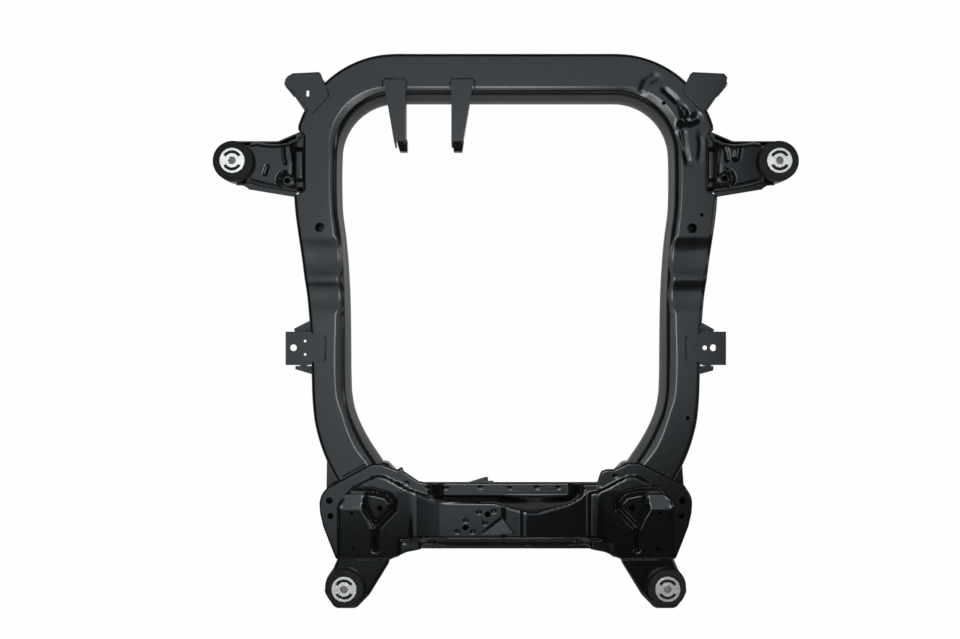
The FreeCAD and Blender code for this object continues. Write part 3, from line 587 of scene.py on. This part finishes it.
# %% Outlines of the upper shell in millimetres
left_front = [(-307, -281), (-305, -272), (-301, -264), (-294, -256), (-222, -217), (-206, -216.6),
              (-180, -226.5), (-177, -226), (-175, -223.5), (-172, -222.6), (-169.5, -224),
              (-168, -229), (-143, -246), (-116, -250.2), (0, -250.6)]
right_front = [(120, -250.2), (150, -250), (153, -240), (157, -229), (166, -226), (178, -226),
               (203, -214.5), (222, -216), (294, -252), (303, -266), (306, -273), (307, -281)]
left_rear = [(-307, -283), (-306, -298), (-301, -320), (-291, -346), (-281, -371), (-279, -374),
             (-191, -375), (-163, -362.5), (-140, -358), (-135, -351.8), (-121, -353.8),
             (-95, -360.2)]
right_rear = [(95, -360.2), (118, -356), (134, -351.8), (140, -358), (163, -362.5), (191, -375),
              (279, -374), (281, -371), (291, -346), (301, -320), (306, -298), (307, -283)]
front_line = np.array(left_front + right_front, float)
rear_line = np.array(left_rear + right_rear, float)

wall_head = np.array([
    (-273.5, -380), (-273.5, -288), (-263, -271), (-247.5, -256), (-215, -239.5), (-202, -239.5),
    (-182, -249.5), (-162, -260.5), (-151, -265), (-138, -270.5), (-116, -277.5), (-95, -279.5),
    (-18, -280.5), (-4, -285), (16, -291.5), (36, -297), (54, -297), (72, -291.8), (99, -285),
    (117, -276.5), (130, -270), (150, -265), (162, -260.5), (182, -249.5), (202, -239.5),
    (215, -239.5), (247.5, -256), (263, -271), (273.5, -288), (273.5, -380), (180, -380),
    (178, -340.5), (142, -338.6), (-142, -338.6), (-178, -340.5), (-180, -380)], float)
wall_foot = np.array([
    (-277, -380), (-277, -287), (-266, -268.5), (-249.5, -252.5), (-216, -235.8), (-201, -235.8),
    (-180, -245.8), (-160, -256.8), (-149, -261), (-136, -265.5), (-115, -270.5), (-95, -271.5),
    (-18, -271.5), (-4, -271.5), (16, -271.5), (36, -271.5), (54, -271.5), (72, -271.5),
    (99, -271.2), (117, -268), (130, -264), (149, -261), (160, -256.8), (180, -245.8),
    (201, -235.8), (216, -235.8), (249.5, -252.5), (266, -268.5), (277, -287), (277, -380),
    (174, -380), (172, -345.5), (142, -346), (-142, -346), (-172, -345.5), (-174, -380)], float)
print("outline points:", len(front_line), len(rear_line), len(wall_head), len(wall_foot))


# %% Distances to an outline
def nearest(x, y, path):
    best = np.full(x.shape, 1e9)
    for a, b in zip(path, np.roll(path, -1, axis=0)):
        best = np.minimum(best, run_distance(x, y, a, b))
    return best


def within(x, y, path):
    inside = np.zeros(x.shape, bool)
    for a, b in zip(path, np.roll(path, -1, axis=0)):
        if a[1] == b[1]:
            continue
        crosses = (a[1] > y) != (b[1] > y)
        inside ^= crosses & (x < (b[0] - a[0]) * (y - a[1]) / (b[1] - a[1]) + a[0])
    return inside


print("a point on the platform is inside:", bool(within(np.array([0.0]), np.array([-310.0]),
                                                        wall_head)[0]))

# %% Heights of the upper shell
groove_outer = [(-252, -262), (-220, -262.5), (-196, -268), (-185, -281), (-186, -292),
                (-200, -305.5), (-214, -321), (-215.5, -338), (-215.5, -357)]
groove_inner = [(-233, -266), (-232.5, -290), (-223, -305.5), (-216.5, -321)]
bead_spots = [(-162.4, -249.0), (-128, -256.8), (-98, -260.2), (-41.5, -258.6), (7.1, -259.8),
              (52, -259.1), (87.4, -259.1), (127.6, -259.1), (180.3, -238.2), (-166, -346.8),
              (-1.8, -359.2), (36.4, -358.7), (117, -350.0)]
nut_spots = [(-65.9, -321.1, 6.4), (-29.7, -299.2, 6.4)]
nut_beads = [(-65.9, -309.7), (-79.5, -328.0), (-54.5, -328.0),
             (-44.0, -296.1), (-19.9, -294.1), (-34.6, -313.9)]


def rim_height(x, y):
    far = np.abs(x)
    front = 62 + 24.5 * smoothstep((far - 103) / 26)
    rear = 62 + 24.5 * smoothstep((far - 116) / 28)
    blend = smoothstep((y + 330) / 50)
    low = front * blend + rear * (1 - blend)
    return low - 3.2 * np.clip((-y - 345) / 14, 0, 1) * smoothstep((128 - far) / 14)


def top_height(x, y):
    climb = 90.9 + 6.1 * np.clip((x + 148) / 41, 0, 1)
    fall = 97 - 10.4 * np.clip((x - 34) / 98, 0, 1)
    back = 3.2 * smoothstep((x - 134) / 7)
    height = np.where(x < 0, climb, fall + back)
    height = height - 0.03 * np.clip(-y - 262, 0, 120) * smoothstep((np.abs(x) - 150) / 12)
    tip = np.array([-6.4, -303.5])
    facet = within(x, y, np.array([tip, (-42, -332), (14, -332)], float))
    height = height - np.where(facet, 1.1 * (1 - (tip[1] - y) / 28.5), 0)
    step = np.where(x > -7, smoothstep((x + 7) / 6) * (1 - smoothstep((x - 22) / 8)), 0)
    return height - 2.2 * step * ~facet


def pad_sink(x, y):
    far = -np.abs(x)
    sunk = stroke_depth(far, y, groove_outer, 7.0, 5.2)
    sunk = np.maximum(sunk, stroke_depth(far, y, groove_inner, 6.0, 5.0))
    ramp = np.clip((y + 291) / 22, 0, 1) * ((far > -272) & (far < -233) & (y < -262))
    side = smoothstep((far + 273) / 3) * smoothstep((-far - 231) / 3)
    return np.maximum(sunk, 4.6 * ramp * side)


def shell_height(x, y):
    head = within(x, y, wall_head)
    foot = within(x, y, wall_foot)
    to_head = nearest(x, y, wall_head)
    to_foot = nearest(x, y, wall_foot)
    share = np.where(head, 1.0, np.where(foot, to_foot / (to_foot + to_head + 1e-9), 0.0))
    share = 0.35 * share + 0.65 * smoothstep(share)
    low = rim_height(x, y)
    high = top_height(x, y) - pad_sink(x, y)
    height = low + (high - low) * share
    rounding = np.where(head, np.clip(1 - to_head / 3.0, 0, 1) ** 2, 0)
    height = height - 0.9 * rounding * np.clip((high - low) / 10, 0, 1)
    for sx, sy in bead_spots:
        height = height - 0.9 * np.clip(1 - ((x - sx) ** 2 + (y - sy) ** 2) / 9.5, 0, 1)
    for sx, sy in nut_beads:
        height = height - 1.3 * np.clip(1 - ((x - sx) ** 2 + (y - sy) ** 2) / 10.5, 0, 1)
    return height


print("platform height in mm:", round(float(shell_height(np.array([-70.0]),
                                                          np.array([-305.0]))[0]), 1))


# %% Grid of the upper shell
def spaced(edges, steps):
    parts = [np.linspace(a, b, n, endpoint=False)
             for a, b, n in zip(edges[:-1], edges[1:], steps)]
    return np.concatenate(parts + [[edges[-1]]])


def grid_piece(name, x, y, z, thickness, material, replaced):
    rows, columns = x.shape
    upper = np.stack([x, y, z], axis=2)
    lower = upper.copy()
    lower[:, :, 2] -= thickness
    block = np.concatenate([upper.reshape(-1, 3), lower.reshape(-1, 3)])
    shift = rows * columns
    out = []
    for i in range(rows - 1):
        for j in range(columns - 1):
            a = i * columns + j
            out.append([a, a + 1, a + columns + 1, a + columns])
            out.append([a + columns + shift, a + columns + 1 + shift, a + 1 + shift, a + shift])
    border = list(range(columns))
    border += [i * columns + columns - 1 for i in range(1, rows)]
    border += [(rows - 1) * columns + j for j in range(columns - 2, -1, -1)]
    border += [i * columns for i in range(rows - 2, 0, -1)]
    for a, b in zip(border, border[1:] + border[:1]):
        out.append([a, b, b + shift, a + shift])
    return piece(name, block, out, material, replaced)


columns = spaced([-307, -300, -276, -240, -60, 240, 276, 300, 307],
                 [14, 18, 20, 90, 150, 20, 18, 14])
rows = np.linspace(0, 1, 92)
front_y = np.interp(columns, front_line[:, 0], front_line[:, 1])
rear_y = np.interp(columns, rear_line[:, 0], rear_line[:, 1])
grid_x = np.repeat(columns[None, :], len(rows), axis=0)
grid_y = front_y[None, :] + (rear_y - front_y)[None, :] * rows[:, None]
grid_z = shell_height(grid_x, grid_y)
edge_line = np.concatenate([front_line, rear_line[::-1]])
to_edge = nearest(grid_x, grid_y, edge_line)
grid_z = grid_z - 1.6 * np.clip(1 - to_edge / 2.6, 0, 1) ** 2
shell = grid_piece("pressed_crossmember", grid_x, grid_y, grid_z, 2.4, sheet_black,
                   ["crossmember_upper_shell"])
print("shell faces:", len(shell.data.polygons))

# %% Holes of the upper shell
holes = []
for side in (-1, 1):
    holes += [((side * 290.3, -277.6), 5.4, 70, 100), ((side * 288.6, -303.0), 5.2, 70, 100),
              ((side * 253.4, -297.5), 2.6, 70, 100), ((side * 251.0, -356.6), 2.8, 70, 100),
              ((side * 207.2, -289.2), 5.0, 70, 105)]
for sx, sy, radius in nut_spots:
    holes.append(((sx, sy), radius, 80, 110))
punch(shell, holes)
print("shell faces after punching:", len(shell.data.polygons))

# %% [markdown]
# ## Front arms
# Each front arm is two pressings welded into a box. The upper one has a round boss with a
# hole, a raised rectangular pad by the tube and a crease between them. It is a grid
# of heights again, bounded by the arm's own front and rear edges.

# %% Upper pressing of a front arm
arm_front = np.array([(330, 333), (337, 331), (348, 322), (362, 316), (380, 313.5), (400, 314.5),
                      (412, 317), (424, 315), (428, 312)], float)
arm_rear = np.array([(330, 232), (337, 232), (350, 233), (386, 238.4), (400, 241), (420, 246),
                     (428, 250)], float)


def arm_height(x, y, side):
    height = np.full(x.shape, 66.0)
    height += 1.2 * smoothstep((360 - x) / 18)
    if side < 0:
        height -= 1.3 * stroke_depth(x, y, [(370, 308), (369, 292), (366, 280)], 4.0, 1.0)
        height -= 1.3 * stroke_depth(x, y, [(396, 275), (400, 262)], 4.5, 1.0)
    else:
        height -= 2.6 * stroke_depth(x, y, [(386, 312), (385, 300), (383, 290)], 9, 1.0)
        height -= 1.4 * stroke_depth(x, y, [(352, 313), (362, 312), (367, 298), (369, 286)],
                                     6, 1.0)
    boss_x, boss_y = (362.5, 251.0) if side < 0 else (363.5, 254.5)
    ring = np.hypot(x - boss_x, y - boss_y)
    beside = np.clip((x - boss_x) / 12, 0, 1)
    height -= 4.5 * smoothstep(1 - np.abs(ring - 13.5) / 6) * beside
    height += 1.0 * smoothstep((10.5 - ring) / 2.0)
    height -= 0.8 * stroke_depth(x, y, [(360, 322), (358, 300), (354.5, 280), (355, 262)],
                                 5, 1.0)
    pad = smoothstep((351.5 - x) / 2.5) * smoothstep((x - 330) / 9)
    pad *= smoothstep((y - 247) / 9) * smoothstep((307 - y) / 9)
    height += 2.8 * pad
    return height


def front_arm(side, name, node):
    across = np.linspace(332.0, 424.0, 74)
    down = np.linspace(0, 1, 74)
    front = np.interp(across, arm_front[:, 0], arm_front[:, 1])
    rear = np.interp(across, arm_rear[:, 0], arm_rear[:, 1])
    x = np.repeat(across[None, :], len(down), axis=0)
    bent = np.sin((down - 0.5) * math.pi) * 0.5 + 0.5
    bent = 0.55 * bent + 0.45 * down
    y = front[None, :] + (rear - front)[None, :] * bent[:, None]
    z = arm_height(x, y, side)
    border = np.minimum(np.abs(y - front[None, :]), np.abs(y - rear[None, :]))
    shoulder = np.clip(1 - border / 9.0, 0, 1)
    z = z - (z - 50) * (1 - np.sqrt(np.clip(1 - shoulder ** 2, 0, 1)))
    return grid_piece(name, side * x, y, z, 2.2, sheet_black, [node])


left_arm = front_arm(-1, "front_arm_pressing_left", "front_arm_upper_left")
right_arm = front_arm(1, "front_arm_pressing_right", "front_arm_upper_right")
punch(left_arm, [((-362.5, 251.0), 4.8, 55, 80)])
punch(right_arm, [((363.5, 254.5), 5.2, 55, 80)])
print("front arm faces:", len(left_arm.data.polygons))


# %% [markdown]
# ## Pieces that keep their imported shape
# Brackets, bushes and lower shells are already right. Their edges are too sharp, though,
# so each is copied, its doubled points are merged, and a small bevel rounds the edges as
# a shear and a coat of primer do.

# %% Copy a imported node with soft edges
def softened(name, node, width, material, centred=False):
    mesh = nodes[node].data.copy()
    mesh.name = name
    work = bmesh.new()
    work.from_mesh(mesh)
    bmesh.ops.remove_doubles(work, verts=work.verts[:], dist=2e-5)
    bmesh.ops.dissolve_limit(work, angle_limit=math.radians(1.0), verts=work.verts[:],
                             edges=work.edges[:])
    work.to_mesh(mesh)
    work.free()
    mesh.materials.clear()
    mesh.materials.append(material)
    thing = bpy.data.objects.new(name, mesh)
    bpy.context.scene.collection.objects.link(thing)
    bevel = thing.modifiers.new("edges", "BEVEL")
    bevel.width = width / 1000
    bevel.segments = 2
    bevel.limit_method = "ANGLE"
    bevel.angle_limit = math.radians(40)
    bevel.use_clamp_overlap = True
    bpy.context.view_layer.update()
    apply_modifiers(thing)
    even_faces(thing)
    if centred:
        low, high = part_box(node)
        middle = Vector(((low.x + high.x) / 2, (low.y + high.y) / 2, 0))
        for vertex in thing.data.vertices:
            vertex.co -= middle
        thing.location = middle
    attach(thing, "root")
    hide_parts(node)
    return thing


copies = {}
for side in ("left", "right"):
    for kind in ("front_arm_lower", "rear_arm_upper", "rear_arm_lower", "engine_mount_finger",
                 "corner_bracket", "side_bracket", "side_gusset"):
        copies[kind, side] = softened(kind + "_soft_" + side, kind + "_" + side, 0.5,
                                      sheet_black)
for side, place in (("left", -446.0), ("right", 446.0)):
    punch(copies["front_arm_lower", side], [((place, 221.5), 24.0, 10, 62)])
punch(copies["side_gusset", "left"], [((-350.0, -25.9), 6.8, 0, 96)])
punch(copies["side_gusset", "right"], [((342.0, -25.9), 6.8, 0, 96), ((328.0, -25.9), 4.8, 0, 96)])
softened("lower_shell_soft", "crossmember_lower_shell", 0.5, sheet_black)
softened("clip_tab_soft", "front_clip_tab", 0.4, sheet_black)
softened("weld_nuts_soft", "box_weld_nuts", 0.3, weld_black)
for end in ("front", "rear"):
    for side in ("left", "right"):
        tail = "_" + end + "_" + side
        softened("ring_soft" + tail, "bush_ring" + tail, 0.4, sheet_black,
                 centred=True)
        softened("sleeve_soft" + tail, "bush_sleeve" + tail, 0.3, sleeve_black,
                 centred=True)
        softened("rubber_soft" + tail, "bush_rubber" + tail, 0.6, bush_rubber,
                 centred=True)
        softened("core_soft" + tail, "bush_core" + tail, 0.25, aluminium,
                 centred=True)

# %% [markdown]
# ## Laps, webs and weld beads
# The corner brackets lap onto the tube, each finger ends in a closed dark tongue, and small
# webs stiffen the side brackets and the rear corners. They are flat blanks, so an outline
# pushed up to its thickness is enough. A weld bead is a thin lumpy rod along a path, because
# a real bead swells a little with each pulse of the torch.

# %% Flat blanks
def blank(name, outline, low, high, fall=0.0):
    count = len(outline)
    back = max(y for x, y in outline)
    points = [(x, y, low) for x, y in outline]
    points += [(x, y, high - fall * (back - y)) for x, y in outline]
    faces = [list(range(count)), list(range(count, 2 * count))]
    for a in range(count):
        b = (a + 1) % count
        faces.append([a, b, b + count, a + count])
    thing = piece(name, points, faces, sheet_black)
    bevel = thing.modifiers.new("edges", "BEVEL")
    bevel.width = 0.0006
    bevel.segments = 2
    bpy.context.view_layer.update()
    apply_modifiers(thing)
    even_faces(thing)
    return thing


left_lap = [(-352.2, 424.2), (-304.9, 426.4), (-300.8, 414.8), (-292.3, 389.6),
            (-320.7, 360.3), (-347.4, 394.3), (-363.8, 406.9), (-363.2, 416.3),
            (-358.4, 422.0)]
right_lap = [(304.0, 425.8), (359.1, 425.8), (364.8, 419.5), (363.8, 413.2), (324.4, 363.4),
             (293.9, 395.9), (292.0, 400.6)]
BRACKET_LIFT = 4.9
slot_x, slot_y = -326.0, 392.7
hole_x, hole_y = 334.8, 398.1
left_plate = blank("corner_bracket_lap_left", left_lap, 84.1, 86.9)
right_plate = blank("corner_bracket_lap_right", right_lap, 84.1, 86.9)
for shift in (2.6, 0.0, -2.6):
    punch(left_plate, [((slot_x, slot_y + shift), 2.5, 80, 90)])
punch(right_plate, [((hole_x, hole_y), 2.8, 80, 90)])
punch(copies["corner_bracket", "left"], [((slot_x, slot_y), 7.5, 40, 96)])
for side in ("left", "right"):
    for vertex in copies["corner_bracket", side].data.vertices:
        vertex.co.z += BRACKET_LIFT / 1000
blank("finger_tongue_left", [(-181.0, 318.0), (-163.0, 318.0), (-163.0, 298.9),
                             (-175.5, 298.9)],
      46, 81, 0.7)
blank("finger_tongue_right", [(-88.3, 316.9), (-69.1, 316.9), (-71.9, 298.9), (-86.1, 298.9)],
      46, 81, 0.7)
webs = [[(-352.2, 5.3), (-325.1, 18.9), (-321.0, 0.5), (-350.6, 0.5)],
        [(-349.6, -56.7), (-318.0, -56.7), (-318.0, -71.7), (-349.6, -62.2)],
        [(325.1, 16.4), (346.4, 4.6), (346.4, 0.5), (319.5, 0.5)],
        [(318.0, -56.7), (345.7, -56.7), (345.7, -64.1), (318.0, -71.7)]]
for number, outline in enumerate(webs):
    blank("side_web_" + str(number), outline, 58, 61)
blank("rear_web_left", [(-297.4, -208.1), (-268.0, -244.0), (-280.0, -262.0), (-298.2, -260.5)],
      55, 58)
blank("rear_web_right", [(294.0, -215.0), (268.0, -246.0), (280.0, -262.0), (297.0, -260.5)],
      55, 58)
for side in (-1, 1):
    outline = [(side * 334, 339), (side * 349, 327), (side * 351, 238), (side * 334, 222)]
    blank("arm_root_" + ("left" if side < 0 else "right"), outline, 26, 59)
print("flat blanks made")


# %% Weld beads
def bead(name, path, height, radius, seed):
    chance = np.random.default_rng(seed)
    path = np.array(path, float)
    lengths = np.concatenate([[0], np.cumsum(np.linalg.norm(np.diff(path, axis=0), axis=1))])
    count = max(6, int(lengths[-1] / 1.3))
    places = np.linspace(0, lengths[-1], count)
    x = np.interp(places, lengths, path[:, 0])
    y = np.interp(places, lengths, path[:, 1])
    heading = np.arctan2(np.gradient(y), np.gradient(x))
    swell = 0.9 + 0.14 * np.sin(places * 2.1) + 0.1 * chance.standard_normal(count)
    swell *= np.sqrt(np.clip(1 - (2 * places / lengths[-1] - 1) ** 16, 0.1, 1))
    points = []
    faces = [list(range(10)), list(range((count - 1) * 10, count * 10))]
    for k in range(count):
        for turn in np.arange(10) * math.pi / 5:
            side = radius * swell[k] * math.cos(turn)
            rise = 0.8 * radius * swell[k] * math.sin(turn)
            points.append((x[k] - side * math.sin(heading[k]),
                           y[k] + side * math.cos(heading[k]), height + rise))
    for k in range(count - 1):
        for j in range(10):
            m = (j + 1) % 10
            faces.append([k * 10 + j, k * 10 + m, k * 10 + m + 10, k * 10 + j + 10])
    piece(name, points, faces, weld_black)


seams = [("finger_left", [(-203, 402), (-203, 413), (-199, 417), (-168, 417), (-164, 413),
                          (-164, 400)], 84.6, 1.7),
         ("finger_right", [(-91.5, 402), (-91.5, 413), (-88, 417), (-55.5, 417), (-51.5, 413),
                           (-51.5, 400)], 84.6, 1.7),
         ("arm_left", [(-334.2, 309), (-333.8, 280), (-334.2, 246)], 70.0, 2.4),
         ("arm_right", [(334.2, 309), (333.8, 280), (334.2, 246)], 70.0, 2.4),
         ("arm_left_front", [(-334.6, 330), (-334.4, 318)], 68.0, 2.0),
         ("arm_left_rear", [(-334.6, 240), (-335.0, 230)], 66.0, 2.0),
         ("arm_right_front", [(334.6, 330), (334.4, 318)], 68.0, 2.0),
         ("arm_right_rear", [(334.6, 240), (335.0, 230)], 66.0, 2.0),
         ("side_left", [(-298.0, -5), (-297.8, -48)], 85.4, 1.9),
         ("side_right", [(298.0, -5), (297.8, -48)], 85.4, 1.9),
         ("bracket_left", [left_lap[2], left_lap[3], left_lap[4]], 84.7, 1.9),
         ("bracket_right", [right_lap[5], right_lap[4]], 84.7, 1.9),
         ("rear_left", [(-250, -375.4), (-198, -375.4)], 83.5, 1.9),
         ("rear_right", [(193, -375.4), (256, -375.4)], 83.5, 1.9),
         ("corner_left", [(-269.5, -238.5), (-230, -217.5)], 85.4, 1.8),
         ("corner_right", [(269.5, -238.5), (230, -217.5)], 85.4, 1.8)]
for number, (name, path, height, radius) in enumerate(seams):
    bead("weld_" + name, path, height, radius, number)
print("weld beads:", len(seams))

# %% [markdown]
# ## Table and light
# The part was laid on white and lit by one big soft box above its front left, so flat
# tops look grey there and nearly black at the right rear. Creases catch two narrow
# lamps at the sides. The white ground is a property of the floor, not of stronger light.

# %% White floor that keeps the shadow
def floor_material():
    material = bpy.data.materials.new("white_table")
    material.use_nodes = True
    tree = material.node_tree
    tree.nodes.clear()
    out = add_node(tree, "ShaderNodeOutputMaterial")
    path = add_node(tree, "ShaderNodeLightPath")
    plain = add_node(tree, "ShaderNodeBsdfDiffuse")
    plain.inputs["Color"].default_value = (0.82, 0.82, 0.82, 1)
    seen = add_node(tree, "ShaderNodeEmission")
    seen.inputs["Color"].default_value = (1, 1, 1, 1)
    seen.inputs["Strength"].default_value = 1.0
    glossy = add_node(tree, "ShaderNodeMath", operation="MULTIPLY")
    glossy.inputs[1].default_value = 0.21
    tree.links.new(path.outputs["Is Glossy Ray"], glossy.inputs[0])
    camera_share = add_node(tree, "ShaderNodeMath", operation="MULTIPLY")
    camera_share.inputs[1].default_value = 0.99
    tree.links.new(path.outputs["Is Camera Ray"], camera_share.inputs[0])
    amount = add_node(tree, "ShaderNodeMath", operation="MAXIMUM")
    tree.links.new(glossy.outputs["Value"], amount.inputs[0])
    tree.links.new(camera_share.outputs["Value"], amount.inputs[1])
    mix = add_node(tree, "ShaderNodeMixShader")
    tree.links.new(amount.outputs["Value"], mix.inputs["Fac"])
    tree.links.new(plain.outputs["BSDF"], mix.inputs[1])
    tree.links.new(seen.outputs["Emission"], mix.inputs[2])
    tree.links.new(mix.outputs["Shader"], out.inputs["Surface"])
    return material


def flat_sheet(name, half_x, half_y, height, material):
    mesh = bpy.data.meshes.new(name)
    corners = [(-half_x, -half_y, height), (half_x, -half_y, height),
               (half_x, half_y, height), (-half_x, half_y, height)]
    mesh.from_pydata(corners, [], [(0, 1, 2, 3)])
    mesh.materials.append(material)
    sheet = bpy.data.objects.new(name, mesh)
    bpy.context.scene.collection.objects.link(sheet)
    return sheet


flat_sheet("table_top", 12.0, 12.0, -0.0005, floor_material())


# %% Soft box above
def edge_fade(tree, value, start, stop):
    fade = add_node(tree, "ShaderNodeMapRange", interpolation_type="SMOOTHSTEP")
    fade.inputs["From Min"].default_value = start
    fade.inputs["From Max"].default_value = stop
    tree.links.new(value, fade.inputs["Value"])
    return fade.outputs["Result"]


def combined(tree, operation, first, second):
    node = add_node(tree, "ShaderNodeMath", operation=operation)
    for socket, value in zip(node.inputs, (first, second)):
        if isinstance(value, float):
            socket.default_value = value
        else:
            tree.links.new(value, socket)
    return node.outputs["Value"]


def card_material():
    material = bpy.data.materials.new("soft_box")
    material.use_nodes = True
    tree = material.node_tree
    tree.nodes.clear()
    out = add_node(tree, "ShaderNodeOutputMaterial")
    glow = add_node(tree, "ShaderNodeEmission")
    place = add_node(tree, "ShaderNodeTexCoord")
    split = add_node(tree, "ShaderNodeSeparateXYZ")
    tree.links.new(place.outputs["Object"], split.inputs["Vector"])
    x = split.outputs["X"]
    y = split.outputs["Y"]
    slant = combined(tree, "SUBTRACT", combined(tree, "MULTIPLY", x, 0.5),
                     combined(tree, "MULTIPLY", y, 0.87))
    lit = combined(tree, "MULTIPLY", edge_fade(tree, x, -1.22, -1.10),
                   edge_fade(tree, x, 1.00, 0.82))
    lit = combined(tree, "MULTIPLY", lit, edge_fade(tree, slant, 0.72, 0.61))
    lit = combined(tree, "MULTIPLY", lit, edge_fade(tree, y, -0.84, -0.74))
    lit = combined(tree, "MULTIPLY", lit, edge_fade(tree, y, 1.50, 1.30))
    lit = combined(tree, "MULTIPLY", lit, 1.22)
    tree.links.new(combined(tree, "ADD", lit, 0.03), glow.inputs["Strength"])
    glow.inputs["Color"].default_value = (0.88, 1.0, 1.06, 1)
    tree.links.new(glow.outputs["Emission"], out.inputs["Surface"])
    return material


card = flat_sheet("overhead_card", 1.9, 1.9, 3.2, card_material())
card.visible_camera = False


# %% Side lamps and the room
def lamp(name, place, aim, size_x, size_y, watts):
    data = bpy.data.lights.new(name, "AREA")
    data.shape = "RECTANGLE"
    data.size = size_x
    data.size_y = size_y
    data.energy = watts
    thing = bpy.data.objects.new(name, data)
    thing.location = place
    direction = Vector(aim) - Vector(place)
    thing.rotation_euler = direction.to_track_quat("-Z", "Y").to_euler()
    thing.visible_camera = False
    bpy.context.scene.collection.objects.link(thing)
    return thing


lamp("near_camera", (0.0, 0.1, 3.15), (0.0, 0.1, 0), 0.62, 0.7, 11)
lamp("right_strip", (2.4, 0.2, 1.9), (0, 0, 0), 0.4, 2.6, 8)
lamp("rear_strip", (-0.2, -2.4, 2.1), (0, 0, 0), 2.6, 0.4, 8)
fill = lamp("fill", (0, 0, 3.3), (0, 0, 0), 3.0, 3.0, 28)
fill.visible_glossy = False

world = bpy.data.worlds.new("studio")
bpy.context.scene.world = world
world.use_nodes = True
tree = world.node_tree
tree.nodes.clear()
out = add_node(tree, "ShaderNodeOutputWorld")
back = add_node(tree, "ShaderNodeBackground")
place = add_node(tree, "ShaderNodeTexCoord")
split = add_node(tree, "ShaderNodeSeparateXYZ")
ramp = add_node(tree, "ShaderNodeValToRGB")
ramp.color_ramp.elements[0].position = 0.0
ramp.color_ramp.elements[0].color = (0.5, 0.5, 0.5, 1)
ramp.color_ramp.elements[1].position = 1.0
ramp.color_ramp.elements[1].color = (0.04, 0.04, 0.04, 1)
for position, grey in ((0.07, 0.30), (0.38, 0.05)):
    stop = ramp.color_ramp.elements.new(position)
    stop.color = (grey, grey, grey, 1)
tree.links.new(place.outputs["Generated"], split.inputs["Vector"])
tree.links.new(split.outputs["Z"], ramp.inputs["Fac"])
path = add_node(tree, "ShaderNodeLightPath")
choose = add_node(tree, "ShaderNodeMix", data_type="RGBA")
choose.inputs["B"].default_value = (1, 1, 1, 1)
tree.links.new(path.outputs["Is Camera Ray"], choose.inputs["Factor"])
tree.links.new(ramp.outputs["Color"], choose.inputs["A"])
tree.links.new(choose.outputs["Result"], back.inputs["Color"])
tree.links.new(back.outputs["Background"], out.inputs["Surface"])
bpy.context.scene.view_settings.view_transform = "Standard"

# %% [markdown]
# ## Rounding a box
# A small helper rounds each corner of a box to five places. The dressed part has to stay
# inside the box of the imported model.

# %% Round the corners of a box
def plain(box):
    return [[round(float(value), 5) for value in corner] for corner in box]
